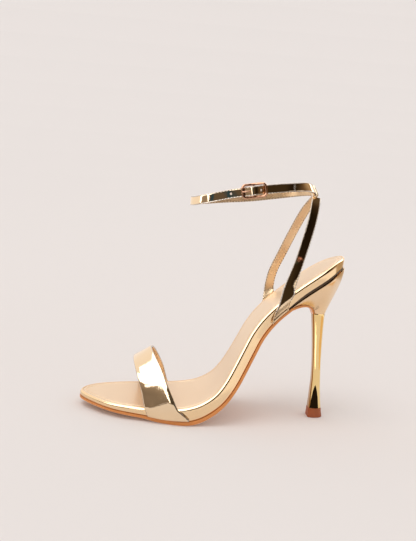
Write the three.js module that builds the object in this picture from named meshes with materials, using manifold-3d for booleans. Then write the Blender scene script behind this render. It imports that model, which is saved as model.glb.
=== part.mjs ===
// A strappy heeled sandal for the left foot, standing on a floor at z = 0. Lengths are in millimetres.
// While it is built, x runs from the toe tip to the back of the heel, y from the outer to the inner
// side of the foot, and z up. The finished group is moved so that its origin is under its middle.

import * as THREE from "three";
import { mergeVertices } from "three/addons/utils/BufferGeometryUtils.js";
import Module from "manifold-3d";

const wasm = await Module();
wasm.setup();

// Sole and last
const SOLE_LENGTH = 195; // toe tip to heel back, as the shoe stands
const HEEL_RISE = 117.5; // how far the foot's seat lies above the ball
const BALL_WIDTH = 77;
const SEAT_WIDTH = 48.5;
const TOE_ROUND = 50; // length of the rounding at the toe
const HEEL_ROUND = 30;
const END_UPRIGHT = 0.75; // how far the sides turn upright at both ends, as a share of the slope
const TOE_END = 0.1; // shares along the bed where that turn is over
const HEEL_END = 0.86;
const BOARD = 8.35; // wrapped board under the foot, at the ball
const BOARD_EDGE = 1.2; // rounding of the wrapped edge
const BOARD_UNDERCUT = 0.8; // how far the bottom edge is drawn in
const OUTSOLE = 3; // at the ball
const OUTSOLE_PROUD = 0.15; // how far the outsole stands out from the board
const OUTSOLE_TAPER = 0.985; // width of its bottom, as a share of its top
const FLAP = 1.5; // outsole where it runs down the front of the heel
const FLAP_START = 0.77; // where it leaves the board, as a share along the bed
const SOLE_FLAT = 0.4; // depth of the flat that the ball stands on
const BALL_AT = 0.29; // where the ball stands, as a share along the bed
const SOCK = 1; // padded sock on the board
const SOCK_EDGE = 0.5; // rounding of its edge
const SOCK_INSET = 1.9; // bare rim of the board round the sock
const GAP = 0.3; // clearance between neighbouring pieces

// Heel
const STEM_TOP = 81.2; // height of the joint between stem and wrapped block
const STEM_LENGTH = 10; // stem at its top, front to back
const STEM_WIDTH = 9.8;
const STEM_CUT = 0.6; // how far in front of its middle the round section is cut flat, as a share
const HEEL_SETBACK = 12; // from the heel back of the sole to the axis of the stem
const TIP_HEIGHT = 7.2;
const TIP_FLARE = 0.12; // how much wider the tip is at the floor, as a share of its size

// Straps
const TOE_STRAP_WIDTH = 28;
const TOE_STRAP_RISE = 43.1; // height of the middle of its crown
const TOE_STRAP_WALL = 1.8;
const BACK_STRAP_WIDTH = 7;
const BACK_STRAP_WALL = 1.5;
const TUCK = 7; // how far a strap runs in under the board
const ANKLE_STRAP_WIDTH = 6.6;
const ANKLE_STRAP_WALL = 1.3;
const ANKLE_LENGTH = 90.9; // the closed ankle strap, front to back
const ANKLE_WIDTH = 36;
const ANKLE_FRONT = 76.5; // from the toe tip to the front of the ankle strap
const ANKLE_HEIGHT = 160.6; // middle of the strap at its front
const ANKLE_CLIMB = 17; // rise from there to the heel side
const KEEPER_WIDTH = 5; // loop on top of the back straps
const KEEPER_WALL = 0.9;
const TAIL = 30; // free end of the strap beyond the buckle
const EYE_WALL = 1; // strap end folded round the buckle's bar

// Buckle
const BUCKLE_LENGTH = 19;
const BUCKLE_HEIGHT = 11.2;
const BUCKLE_CORNER = 2.6;
const WIRE = 1.9;
const BAR = 1.4;
const PRONG = 1.1;

// How the foot's bed climbs from the ball: shares of the sole's length and of the heel rise.
const bedRows = [
  { along: 0.0, x: 0.005, z: 0.013 },
  { along: 0.1, x: 0.128, z: 0.002 },
  { along: 0.2, x: 0.254, z: 0.001 },
  { along: 0.26, x: 0.331, z: 0.006 },
  { along: 0.32, x: 0.406, z: 0.02 },
  { along: 0.37, x: 0.467, z: 0.051 },
  { along: 0.42, x: 0.52, z: 0.11 },
  { along: 0.47, x: 0.558, z: 0.192 },
  { along: 0.53, x: 0.593, z: 0.305 },
  { along: 0.58, x: 0.62, z: 0.401 },
  { along: 0.63, x: 0.647, z: 0.494 },
  { along: 0.68, x: 0.683, z: 0.583 },
  { along: 0.74, x: 0.734, z: 0.675 },
  { along: 0.84, x: 0.831, z: 0.813 },
  { along: 0.95, x: 0.944, z: 0.949 },
  { along: 1.0, x: 1.0, z: 1.0 },
];

// Half widths to the outer and inner side: shares of the ball width, then of the seat width.
const forefootRows = [
  { along: 0.0, outer: 0.27, inner: 0.415 },
  { along: 0.1, outer: 0.4, inner: 0.445 },
  { along: 0.2, outer: 0.445, inner: 0.468 },
  { along: 0.27, outer: 0.487, inner: 0.488 },
  { along: 0.33, outer: 0.518, inner: 0.478 },
  { along: 0.4, outer: 0.495, inner: 0.418 },
];
const seatRows = [
  { along: 0.5, outer: 0.647, inner: 0.528 },
  { along: 0.6, outer: 0.553, inner: 0.47 },
  { along: 0.7, outer: 0.497, inner: 0.47 },
  { along: 0.8, outer: 0.493, inner: 0.485 },
  { along: 0.88, outer: 0.499, inner: 0.503 },
  { along: 1.0, outer: 0.499, inner: 0.511 },
];

// Depth of the wrapped board and of the outsole, as shares of their depths at the ball.
const depthRows = [
  { along: 0.0, board: 0.45, sole: 0.55 },
  { along: 0.1, board: 0.47, sole: 0.6 },
  { along: 0.2, board: 0.63, sole: 0.72 },
  { along: 0.245, board: 0.83, sole: 0.9 },
  { along: 0.29, board: 1.0, sole: 1.0 },
  { along: 0.34, board: 1.15, sole: 1.0 },
  { along: 0.39, board: 1.09, sole: 0.83 },
  { along: 0.45, board: 1.03, sole: 0.65 },
  { along: 0.7, board: 1.01, sole: 0.6 },
  { along: 1.0, board: 1.05, sole: 0.6 },
];

// The stem, from the tip up: shares of the stem's top height, length and width.
const stemRows = [
  { along: 0.09, front: -0.52, back: 0.5, wide: 1.04 },
  { along: 0.17, front: -0.49, back: 0.41, wide: 0.92 },
  { along: 0.25, front: -0.47, back: 0.34, wide: 0.82 },
  { along: 0.38, front: -0.44, back: 0.26, wide: 0.74 },
  { along: 0.57, front: -0.5, back: 0.18, wide: 0.72 },
  { along: 0.82, front: -0.67, back: 0.14, wide: 0.84 },
  { along: 1.0, front: -0.84, back: 0.15, wide: 1.0 },
];

// Where straps cross the side of the board: places along the sole, and shares of the strap's width.
const toeEnds = {
  outer: { top: { at: 0.257, wide: 0.87 }, foot: { at: 0.275, wide: 1.02 } },
  inner: { top: { at: 0.225, wide: 0.83 }, foot: { at: 0.235, wide: 0.97 } },
};
const backEnds = {
  outer: { top: { at: 0.777, wide: 2.16 }, foot: { at: 0.725, wide: 2.47 } },
  inner: { top: { at: 0.74, wide: 1.8 }, foot: { at: 0.69, wide: 2.1 } },
};

// The toe strap over the foot, from the outer to the inner side: its middle as shares of the sole's
// length, of half the ball width and of its rise, its width as a share, and the lean and skew of its
// section.
const toeRows = [
  { x: 0.31, out: -0.935, up: 0.445, wide: 0.8, lean: 3, skew: -0.13 },
  { x: 0.292, out: -0.86, up: 0.636, wide: 0.71, lean: 10, skew: -0.09 },
  { x: 0.273, out: -0.725, up: 0.806, wide: 0.66, lean: 15, skew: -0.05 },
  { x: 0.253, out: -0.465, up: 0.945, wide: 0.6, lean: 26, skew: 0 },
  { x: 0.24, out: -0.07, up: 1.0, wide: 0.575, lean: 35, skew: 0 },
  { x: 0.244, out: 0.3, up: 0.956, wide: 0.6, lean: 28, skew: 0 },
  { x: 0.255, out: 0.63, up: 0.786, wide: 0.67, lean: 14, skew: 0.02 },
  { x: 0.27, out: 0.86, up: 0.549, wide: 0.77, lean: 5, skew: 0.06 },
];

// The back straps above the board, from the seat up to the keeper: shares of the way from the board's
// edge to the keeper, of half the seat width, and of the strap's width, with the lean of the section.
const backRows = {
  outer: [
    { x: 0.05, up: 0.08, out: 1.08, wide: 1.25, lean: -14 },
    { x: 0.35, up: 0.345, out: 0.9, wide: 1.0, lean: -20 },
    { x: 0.6, up: 0.56, out: 0.7, wide: 1.0, lean: -20 },
    { x: 0.8, up: 0.75, out: 0.5, wide: 1.0, lean: -18 },
    { x: 0.93, up: 0.9, out: 0.27, wide: 1.0, lean: -14 },
  ],
  inner: [
    { x: 0.02, up: 0.1, out: 1.07, wide: 1.05, lean: -6 },
    { x: 0.09, up: 0.25, out: 1.0, wide: 1.0, lean: -12 },
    { x: 0.28, up: 0.424, out: 0.87, wide: 1.0, lean: -21 },
    { x: 0.58, up: 0.695, out: 0.6, wide: 1.0, lean: -22 },
    { x: 0.8, up: 0.88, out: 0.3, wide: 1.0, lean: -18 },
  ],
};

// One half of the ankle strap's loop, from its front bend to its back bend, as shares of its size, and
// how much lower the inner half runs.
const ankleRows = [
  { x: 0.03, out: 0.5, up: 0.02, drop: 0.0 },
  { x: 0.1, out: 0.82, up: 0.13, drop: 0.06 },
  { x: 0.3, out: 0.95, up: 0.42, drop: 0.21 },
  { x: 0.48, out: 1.0, up: 0.62, drop: 0.3 },
  { x: 0.68, out: 0.98, up: 0.8, drop: 0.3 },
  { x: 0.81, out: 0.9, up: 0.89, drop: 0.26 },
  { x: 0.9, out: 0.74, up: 0.94, drop: 0.22 },
  { x: 0.965, out: 0.46, up: 0.88, drop: 0.12 },
];
const ANKLE_BACK_UP = 0.75; // height of the back bend, as a share of the climb
const ANKLE_BACK_LEAN = 28; // degrees that the strap's top leans in at the back bend

// A smooth curve through one column of a table.
function through(rows, column, along) {
  const last = rows.length - 1;
  let i = 0;
  while (i < last - 1 && along > rows[i + 1].along) i++;
  const slope = (k) => {
    const a = rows[Math.max(k - 1, 0)];
    const b = rows[Math.min(k + 1, last)];
    return (b[column] - a[column]) / (b.along - a.along);
  };
  const width = rows[i + 1].along - rows[i].along;
  const t = THREE.MathUtils.clamp((along - rows[i].along) / width, 0, 1);
  const ease = t * t * (3 - 2 * t);
  const lead = t * (1 - t) * (1 - t) * slope(i) * width;
  const trail = t * t * (t - 1) * slope(i + 1) * width;
  return THREE.MathUtils.lerp(rows[i][column], rows[i + 1][column], ease) + lead + trail;
}

function bedCurve(along) {
  return new THREE.Vector2(
    SOLE_LENGTH * through(bedRows, "x", along),
    HEEL_RISE * through(bedRows, "z", along),
  );
}

// Direction of the bed, towards the heel.
function bedSlope(along) {
  const step = 0.004;
  const a = bedCurve(Math.max(along - step, 0));
  const b = bedCurve(Math.min(along + step, 1));
  return b.sub(a).normalize();
}

// The bed's lowest height over the floor, with the ball standing on the outsole.
const ballTop =
  (BOARD + GAP + OUTSOLE) * bedSlope(BALL_AT).x - bedCurve(BALL_AT).y - SOLE_FLAT;

const bed = (along) => bedCurve(along).add(new THREE.Vector2(0, ballTop));

// Length of the bed rolled out flat.
const bedLength = (() => {
  const steps = 200;
  let sum = 0;
  for (let i = 0; i < steps; i++) sum += bed((i + 1) / steps).distanceTo(bed(i / steps));
  return sum;
})();

// A point at a share along the bed, across it and above it. The sides stand upright at both ends.
function place(along, across, above) {
  const p = bed(along);
  const atHeel = THREE.MathUtils.smoothstep(along, HEEL_END, 1);
  const atToe = 1 - THREE.MathUtils.smoothstep(along, 0, TOE_END);
  const upright = END_UPRIGHT * Math.max(atHeel, atToe);
  const turn = bedSlope(along).angle() % (2 * Math.PI);
  const angle = (turn > Math.PI ? turn - 2 * Math.PI : turn) * (1 - upright);
  return new THREE.Vector3(p.x - Math.sin(angle) * above, across, p.y + Math.cos(angle) * above);
}

const outlineRows = [
  ...forefootRows.map((r) => ({ along: r.along, outer: r.outer * BALL_WIDTH, inner: r.inner * BALL_WIDTH })),
  ...seatRows.map((r) => ({ along: r.along, outer: r.outer * SEAT_WIDTH, inner: r.inner * SEAT_WIDTH })),
];

function halfWidth(along, column) {
  const toe = THREE.MathUtils.clamp((along * bedLength) / TOE_ROUND, 0, 1);
  const heel = THREE.MathUtils.clamp(((1 - along) * bedLength) / HEEL_ROUND, 0, 1);
  const round = Math.sqrt(1 - (1 - toe) ** 2) * Math.sqrt(1 - (1 - heel) ** 2);
  return round * through(outlineRows, column, along);
}

const boardDepth = (along) => BOARD * through(depthRows, "board", along);
const soleDepth = (along) => OUTSOLE * through(depthRows, "sole", along);

const CROWDING = 0.88; // how strongly the stations crowd at the ends, from 0 to 1

// Shares along the sole, closer together at both round ends.
function stations(from, to, count) {
  const list = [];
  for (let i = 0; i <= count; i++) {
    const t = i / count;
    const eased = t - (CROWDING / (2 * Math.PI)) * Math.sin(2 * Math.PI * t);
    list.push(from + (to - from) * eased);
  }
  return list;
}

const SOLE_STATIONS = 46;

// The sole's outline rolled out flat, pulled in by an inset: toe tip, outer side, heel, inner side.
function outline(inset) {
  const list = stations(0, 1, SOLE_STATIONS);
  const flat = (along, column, sign) => new THREE.Vector2(along * bedLength, sign * halfWidth(along, column));
  const loop = list.map((s) => flat(s, "outer", -1));
  for (let i = list.length - 2; i > 0; i--) loop.push(flat(list[i], "inner", 1));
  return loop.map((p, i) => {
    const before = loop[(i - 1 + loop.length) % loop.length];
    const after = loop[(i + 1) % loop.length];
    const d = after.clone().sub(before).normalize();
    return { along: THREE.MathUtils.clamp((p.x - d.y * inset) / bedLength, 0, 1), across: p.y + d.x * inset };
  });
}

// A closed geometry from points and triangles, turned so that its faces look out.
function closed(points, faces) {
  let volume = 0;
  for (const [a, b, c] of faces) {
    volume += points[a].dot(points[b].clone().cross(points[c]));
  }
  const index = faces.flatMap(([a, b, c]) => (volume < 0 ? [a, c, b] : [a, b, c]));
  const geometry = new THREE.BufferGeometry().setFromPoints(points);
  geometry.setIndex(index);
  return mergeVertices(geometry, 1e-4);
}

// Triangles that zip a loop shut. The loop runs down one side and back up the other.
function zip(first, count, startsAtTip) {
  const faces = [];
  let i = 0;
  let j = count - 1;
  if (startsAtTip) {
    faces.push([first, first + 1, first + j]);
    i = 1;
  }
  while (j - i > 1) {
    faces.push([first + i, first + i + 1, first + j]);
    if (j - i > 2) faces.push([first + i + 1, first + j - 1, first + j]);
    i++;
    j--;
  }
  return faces;
}

// A solid through loops of equal length, listed from one end to the other.
function loft(loops, startsAtTip = false) {
  const count = loops[0].length;
  const faces = zip(0, count, startsAtTip).map(([a, b, c]) => [a, c, b]);
  for (let k = 0; k + 1 < loops.length; k++) {
    for (let i = 0; i < count; i++) {
      const a = k * count + i;
      const b = k * count + ((i + 1) % count);
      faces.push([a, b, b + count], [a, b + count, a + count]);
    }
  }
  faces.push(...zip((loops.length - 1) * count, count, startsAtTip));
  return closed(loops.flat(), faces);
}

// A sheet of real thickness over a grid of points on its middle surface, grown at its rim if asked.
function sheet(grid, wall, grow = 0) {
  const rows = grid.length;
  const columns = grid[0].length;
  const rim = grid.map((row) => row.map((p) => p.clone()));
  const push = (target, from) => {
    const d = target.clone().sub(from).normalize();
    return target.clone().addScaledVector(d, grow);
  };
  for (let i = 0; i < rows; i++) {
    rim[i][0] = push(grid[i][0], grid[i][1]);
    rim[i][columns - 1] = push(grid[i][columns - 1], grid[i][columns - 2]);
  }
  for (let j = 0; j < columns; j++) {
    rim[0][j] = push(rim[0][j], rim[1][j]);
    rim[rows - 1][j] = push(rim[rows - 1][j], rim[rows - 2][j]);
  }
  const faceNormal = (i, j) => {
    const along = grid[Math.min(i + 1, rows - 1)][j].clone().sub(grid[Math.max(i - 1, 0)][j]);
    const across = grid[i][Math.min(j + 1, columns - 1)].clone().sub(grid[i][Math.max(j - 1, 0)]);
    return along.cross(across).normalize();
  };
  const loops = [];
  for (let i = 0; i < rows; i++) {
    const loop = [];
    for (let j = 0; j < columns; j++) {
      loop.push(rim[i][j].clone().addScaledVector(faceNormal(i, j), wall / 2 + grow));
    }
    for (let j = columns - 1; j >= 0; j--) {
      loop.push(rim[i][j].clone().addScaledVector(faceNormal(i, j), -wall / 2 - grow));
    }
    loops.push(loop);
  }
  const count = columns * 2;
  const faces = [];
  for (let i = 0; i + 1 < rows; i++) {
    for (let j = 0; j < count; j++) {
      const a = i * count + j;
      const b = i * count + ((j + 1) % count);
      faces.push([a, b, b + count], [a, b + count, a + count]);
    }
  }
  for (let j = 0; j + 1 < columns; j++) {
    const near = [j, j + 1, count - 2 - j, count - 1 - j];
    const far = near.map((v) => v + (rows - 1) * count);
    faces.push([near[0], near[2], near[1]], [near[0], near[3], near[2]]);
    faces.push([far[0], far[1], far[2]], [far[0], far[2], far[3]]);
  }
  return closed(loops.flat(), faces);
}

function toSolid(geometry) {
  const bare = geometry.clone();
  bare.deleteAttribute("normal");
  bare.deleteAttribute("uv");
  const merged = mergeVertices(bare, 1e-4);
  return new wasm.Manifold(
    new wasm.Mesh({
      numProp: 3,
      vertProperties: merged.attributes.position.array,
      triVerts: new Uint32Array(merged.index.array),
    }),
  );
}

function toGeometry(solid) {
  const mesh = solid.getMesh();
  const geometry = new THREE.BufferGeometry();
  geometry.setAttribute("position", new THREE.BufferAttribute(mesh.vertProperties, 3));
  geometry.setIndex(new THREE.BufferAttribute(mesh.triVerts, 1));
  return geometry;
}

// Sole

// A flat ring of the sole: how far it is pulled in, and its height over the bed at each place.
function soleRing(inset, above) {
  return outline(inset).map((p) => place(p.along, p.across, above(p.along)));
}

function boardGeometry() {
  const floorOf = (s) => -boardDepth(s);
  const chamfer = BOARD_EDGE * 0.3;
  const rings = [
    soleRing(BOARD_UNDERCUT, floorOf),
    soleRing(0, (s) => floorOf(s) + BOARD_UNDERCUT / 2),
    soleRing(0, () => -BOARD_EDGE),
    soleRing(chamfer, () => -chamfer),
    soleRing(BOARD_EDGE, () => 0),
    soleRing(SOCK_INSET - GAP, () => 0),
    soleRing(SOCK_INSET - GAP, () => -SOCK - GAP),
  ];
  return loft(rings, true);
}

function sockGeometry() {
  const rings = [
    soleRing(SOCK_INSET, () => -SOCK),
    soleRing(SOCK_INSET, () => -SOCK_EDGE / 2),
    soleRing(SOCK_INSET + SOCK_EDGE, () => 0),
  ];
  return loft(rings, true);
}

// The heel's front, where the outsole runs down: one rib from the board to the top of the stem.
const stemAxis = SOLE_LENGTH - HEEL_SETBACK;
const heelSpan = SEAT_WIDTH / 2;
const stemFront = stemAxis + STEM_LENGTH * stemRows[stemRows.length - 1].front;
const stemBack = stemAxis + STEM_LENGTH * stemRows[stemRows.length - 1].back;
const blockFront = stemFront + FLAP;
const BLOCK_STATIONS = 13;
const SECTION_POINTS = BLOCK_STATIONS * 2 + 1;

// A section of the heel, round at the back and flat at the front, from the outer corner to the inner.
function section(front, back, halfWide, height) {
  const radius = (back - front) / (1 + STEM_CUT);
  const turn = Math.PI - Math.acos(STEM_CUT);
  const loop = [];
  for (let i = 0; i < SECTION_POINTS; i++) {
    const angle = THREE.MathUtils.lerp(-turn, turn, i / (SECTION_POINTS - 1));
    loop.push(
      new THREE.Vector3(back - radius + radius * Math.cos(angle), halfWide * Math.sin(angle), height),
    );
  }
  return loop;
}

// How the ribs of the block bend: shares of half the seat's width, and lengths for the lower ends.
const ribBend = { climb: 0.45, flatten: 0.55, drop: 0.42, rise: 0.35 };
const ribFoot = { inset: 0.3, pinch: 2, front: -1.3, back: 3.2, side: 1.2 };

// The ribs of the block: each leaves the seat's outline and comes down to the stem.
function blockRibs() {
  const foot = section(blockFront, stemBack, STEM_WIDTH / 2, STEM_TOP + GAP);
  return foot.map((bottom, i) => {
    const side = i <= BLOCK_STATIONS ? "outer" : "inner";
    const sign = side === "outer" ? -1 : 1;
    const f = side === "outer" ? i / BLOCK_STATIONS : (SECTION_POINTS - 1 - i) / BLOCK_STATIONS;
    const along = FLAP_START + (1 - FLAP_START) * Math.sin((f * Math.PI) / 2);
    const across = sign * Math.max(halfWidth(along, side) - ribFoot.inset, 0);
    const top = place(along, across, -boardDepth(along) - GAP);
    const slope = bedSlope(along).multiplyScalar(heelSpan * ribBend.climb);
    const turn = THREE.MathUtils.smoothstep(f, 0, 0.75);
    const lead = new THREE.Vector3(slope.x, -sign * ribFoot.pinch, slope.y * ribBend.flatten);
    lead.multiplyScalar(1 - turn);
    lead.z -= heelSpan * ribBend.drop * turn;
    const trail = new THREE.Vector3(
      THREE.MathUtils.lerp(ribFoot.front, ribFoot.back, f),
      sign * ribFoot.side * (1 - f),
      heelSpan * ribBend.rise,
    );
    return new THREE.CubicBezierCurve3(top, top.clone().add(lead), bottom.clone().add(trail), bottom);
  });
}

function blockGeometry() {
  const ribs = blockRibs();
  const levels = 10;
  const loops = [];
  for (let k = levels; k >= 0; k--) loops.push(ribs.map((rib) => rib.getPoint(k / levels)));
  return loft(loops);
}

function stemGeometry() {
  const loops = [];
  const levels = 14;
  const low = (TIP_HEIGHT + GAP) / STEM_TOP;
  for (let k = 0; k <= levels; k++) {
    const along = THREE.MathUtils.lerp(low, 1, k / levels);
    const front = stemAxis + STEM_LENGTH * through(stemRows, "front", along);
    const back = stemAxis + STEM_LENGTH * through(stemRows, "back", along);
    const halfWide = (STEM_WIDTH / 2) * through(stemRows, "wide", along);
    loops.push(section(front, back, halfWide, STEM_TOP * along));
  }
  return loft(loops);
}

function tipGeometry() {
  const foot = stemRows[0];
  const tipRows = [
    { up: 0, flare: 1 },
    { up: 0.1, flare: 1 },
    { up: 0.85, flare: 0.3 },
    { up: 1, flare: 0.15 },
  ];
  return loft(
    tipRows.map((r) => {
      const flare = r.flare * TIP_FLARE;
      const front = stemAxis + STEM_LENGTH * (foot.front - flare / 3);
      const back = stemAxis + STEM_LENGTH * (foot.back + flare);
      return section(front, back, (STEM_WIDTH / 2) * (foot.wide + flare), TIP_HEIGHT * r.up);
    }),
  );
}

// The outsole: under the board to the heel, then down the heel's front as a flap.
function outsoleGeometry() {
  const upper = [];
  const lower = [];
  for (const along of stations(0, FLAP_START, SOLE_STATIONS)) {
    const top = -boardDepth(along) - GAP;
    const edge = (column, sign) => sign * (halfWidth(along, column) + OUTSOLE_PROUD);
    const sides = along === 0 ? [0] : [edge("outer", -1), edge("inner", 1)];
    const nose = along === 0 ? -OUTSOLE_PROUD : 0;
    upper.push(
      sides.map((across) => place(along, across, top).add(new THREE.Vector3(nose, 0, 0))),
    );
    lower.push(
      sides.map((across) => {
        const p = place(along, across * OUTSOLE_TAPER, top - soleDepth(along));
        p.z = Math.max(p.z, 0);
        return p;
      }),
    );
  }
  const ribs = blockRibs();
  const steps = 14;
  for (let k = 1; k <= steps; k++) {
    const t = k / steps;
    const corners = [ribs[0].getPoint(t), ribs[ribs.length - 1].getPoint(t)];
    const ahead = ribs[0].getTangent(t);
    const out = new THREE.Vector3(ahead.z, 0, -ahead.x).normalize();
    const thinned = THREE.MathUtils.smoothstep(t, 0, 0.5);
    const depth = THREE.MathUtils.lerp(soleDepth(FLAP_START), FLAP, thinned) + GAP;
    upper.push(corners.map((p) => p.clone().addScaledVector(out, GAP)));
    lower.push(corners.map((p) => p.clone().addScaledVector(out, depth)));
  }
  const loop = (pairs) => [
    ...pairs.slice(1).reverse().map((pair) => pair[0]),
    pairs[0][0],
    ...pairs.slice(1).map((pair) => pair[1]),
  ];
  return loft([loop(lower), loop(upper)]);
}

// Straps

const ACROSS = [0, 0.25, 0.5, 0.75, 1];

// Three points across a strap where it lies on the side of the board or under it.
function onBoard(end, width, side, out, depth) {
  const sign = side === "outer" ? -1 : 1;
  return [-0.5, 0, 0.5].map((share) => {
    const along = end.at + (share * end.wide * width) / bedLength;
    return place(along, sign * (halfWidth(along, side) + out), -depth(along));
  });
}

// The rows of a strap from under the board up to the board's top edge.
function strapFoot(ends, width, wall, side) {
  const { top, foot } = ends[side];
  const mix = (t) => ({
    at: THREE.MathUtils.lerp(foot.at, top.at, t),
    wide: THREE.MathUtils.lerp(foot.wide, top.wide, t),
  });
  const beside = GAP + wall / 2;
  const under = (out) => onBoard(foot, width, side, out, (s) => boardDepth(s) - wall / 2 - GAP / 3);
  const climb = [
    { way: 0.15, depth: 0.7 },
    { way: 0.5, depth: 0.4 },
    { way: 0.95, depth: 0.05 },
  ];
  return [
    under(-TUCK),
    under(-TUCK / 2),
    under(-wall * 0.6),
    under(beside - GAP / 2),
    ...climb.map((r) => onBoard(mix(r.way), width, side, beside, (s) => boardDepth(s) * r.depth)),
  ];
}

// Three points across a free stretch of a strap.
function span(x, y, z, wide, leanDegrees, skew = 0) {
  const lean = THREE.MathUtils.degToRad(leanDegrees);
  const across = new THREE.Vector3(wide * Math.cos(lean), skew, wide * Math.sin(lean));
  return [-0.5, 0, 0.5].map((share) => new THREE.Vector3(x, y, z).addScaledVector(across, share));
}

// A grid of points over a strap, from rows of three points.
function strapGrid(rows, steps) {
  const curves = [0, 1, 2].map(
    (k) => new THREE.CatmullRomCurve3(rows.map((row) => row[k]), false, "centripetal"),
  );
  const grid = [];
  for (let i = 0; i <= steps; i++) {
    const [a, b, c] = curves.map((curve) => curve.getPoint(i / steps));
    grid.push(ACROSS.map((t) => new THREE.QuadraticBezierCurve3(
      a,
      b.clone().multiplyScalar(2).addScaledVector(a, -0.5).addScaledVector(c, -0.5),
      c,
    ).getPoint(t)));
  }
  return grid;
}

function toeStrapGrid() {
  const over = toeRows.map((r) =>
    span(
      r.x * SOLE_LENGTH,
      (r.out * BALL_WIDTH) / 2,
      r.up * TOE_STRAP_RISE,
      r.wide * TOE_STRAP_WIDTH,
      r.lean,
      (r.skew * BALL_WIDTH) / 2,
    ),
  );
  const foot = (side) => strapFoot(toeEnds, TOE_STRAP_WIDTH, TOE_STRAP_WALL, side);
  return strapGrid([...foot("outer"), ...over, ...foot("inner").reverse()], 48);
}

// Ankle strap

// The middle line of the closed ankle strap, starting at the buckle and running to the back first.
const ankleLoop = (() => {
  const point = (x, out, up) =>
    new THREE.Vector3(
      ANKLE_FRONT + x * ANKLE_LENGTH,
      (out * ANKLE_WIDTH) / 2,
      ANKLE_HEIGHT + up * ANKLE_CLIMB,
    );
  const outer = ankleRows.map((r) => point(r.x, -r.out, r.up));
  const inner = ankleRows.map((r) => point(r.x, r.out, r.up - r.drop));
  const buckleAt = 3;
  return new THREE.CatmullRomCurve3(
    [
      ...outer.slice(buckleAt),
      point(1, 0, ANKLE_BACK_UP),
      ...inner.slice().reverse(),
      point(0, 0, 0),
      ...outer.slice(0, buckleAt),
    ],
    true,
    "centripetal",
  );
})();
const ankleLoopLength = ankleLoop.getLength();
const ankleCentre = new THREE.Vector3(ANKLE_FRONT + ANKLE_LENGTH / 2, 0, ANKLE_HEIGHT);

// A frame on the ankle strap: origin, along the strap, outward and up, at a distance from the buckle.
function ankleFrame(distance) {
  const u = (((distance / ankleLoopLength) % 1) + 1) % 1;
  const origin = ankleLoop.getPointAt(u);
  const along = ankleLoop.getTangentAt(u);
  const share = (origin.x - ANKLE_FRONT) / ANKLE_LENGTH;
  const lean = -THREE.MathUtils.degToRad(ANKLE_BACK_LEAN) * THREE.MathUtils.smoothstep(share, 0.86, 1);
  const out = along.clone().cross(new THREE.Vector3(0, 0, 1)).normalize();
  if (out.dot(ankleCentre.clone().sub(origin)) > 0) out.negate();
  const up = out.clone().cross(along).normalize();
  if (up.z < 0) up.negate();
  const turned = up.clone().multiplyScalar(Math.cos(lean)).addScaledVector(out, Math.sin(lean));
  out.multiplyScalar(Math.cos(lean)).addScaledVector(up, -Math.sin(lean));
  return { origin, along, out, up: turned };
}

function inFrame(frame, along, out, up) {
  return frame.origin
    .clone()
    .addScaledVector(frame.along, along)
    .addScaledVector(frame.out, out)
    .addScaledVector(frame.up, up);
}

const buckleFrame = ankleFrame(0);
const eyeRadius = BAR / 2 + GAP + EYE_WALL;
const barHeight = eyeRadius; // centre bar over the inside of the strap
const endBar = BUCKLE_LENGTH / 2 - WIRE / 2;
const endBarHeight = 2 * (ANKLE_STRAP_WALL + GAP) + WIRE / 2;
const STRAP_SPLIT = -34; // where the tail leaves the leg, counted from the buckle's bar

// How far the middle of the strap lies from the leg, at a distance before or after the buckle's bar.
const onLeg = ANKLE_STRAP_WALL / 2;
const onStrap = ANKLE_STRAP_WALL * 1.5 + GAP;
const onBar = barHeight + eyeRadius + GAP + ANKLE_STRAP_WALL / 2;
const weaveRows = [
  { along: STRAP_SPLIT, out: onLeg },
  { along: -22, out: onLeg },
  { along: -endBar, out: onStrap },
  { along: -BAR, out: onBar },
  { along: BAR, out: onBar },
  { along: endBar, out: onStrap },
  { along: TAIL, out: onStrap },
];

function ankleGrid() {
  const rows = [];
  const row = (distance, out) => {
    const frame = ankleFrame(distance);
    rows.push([-0.5, 0, 0.5].map((share) => inFrame(frame, 0, out, share * ANKLE_STRAP_WIDTH)));
  };
  const plain = ankleLoopLength + STRAP_SPLIT;
  const coarse = 52;
  for (let i = 0; i < coarse; i++) row(THREE.MathUtils.lerp(GAP, plain, i / coarse), onLeg);
  const fine = 36;
  for (let i = 0; i <= fine; i++) {
    const beyond = THREE.MathUtils.lerp(STRAP_SPLIT, TAIL, i / fine);
    row(ankleLoopLength + beyond, through(weaveRows, "out", beyond));
  }
  return rows;
}

function rotated(geometry, x, y, z) {
  geometry.applyMatrix4(new THREE.Matrix4().makeBasis(x, y, z));
  return geometry;
}

function moved(geometry, p) {
  return geometry.translate(p.x, p.y, p.z);
}

// A round bar that stands across the strap.
function crossBar(radius, length, at) {
  const bar = new THREE.CylinderGeometry(radius, radius, length, 16);
  rotated(bar, buckleFrame.along, buckleFrame.up, buckleFrame.along.clone().cross(buckleFrame.up));
  return moved(bar, at);
}

// The strap's end folded round the bar, as a tube that is open for it.
function eyeGeometry() {
  const shape = new THREE.Shape().absarc(0, 0, eyeRadius, 0, 2 * Math.PI);
  shape.holes.push(new THREE.Path().absarc(0, 0, BAR / 2 + GAP, 0, 2 * Math.PI, true));
  const eye = new THREE.ExtrudeGeometry(shape, {
    depth: ANKLE_STRAP_WIDTH,
    bevelEnabled: false,
    curveSegments: 12,
  });
  eye.translate(0, 0, -ANKLE_STRAP_WIDTH / 2);
  const side = buckleFrame.up.clone().cross(buckleFrame.along);
  rotated(eye, buckleFrame.along, side, buckleFrame.up);
  return moved(eye, inFrame(buckleFrame, 0, barHeight, 0));
}

const RIM_STEPS = 10;

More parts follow.
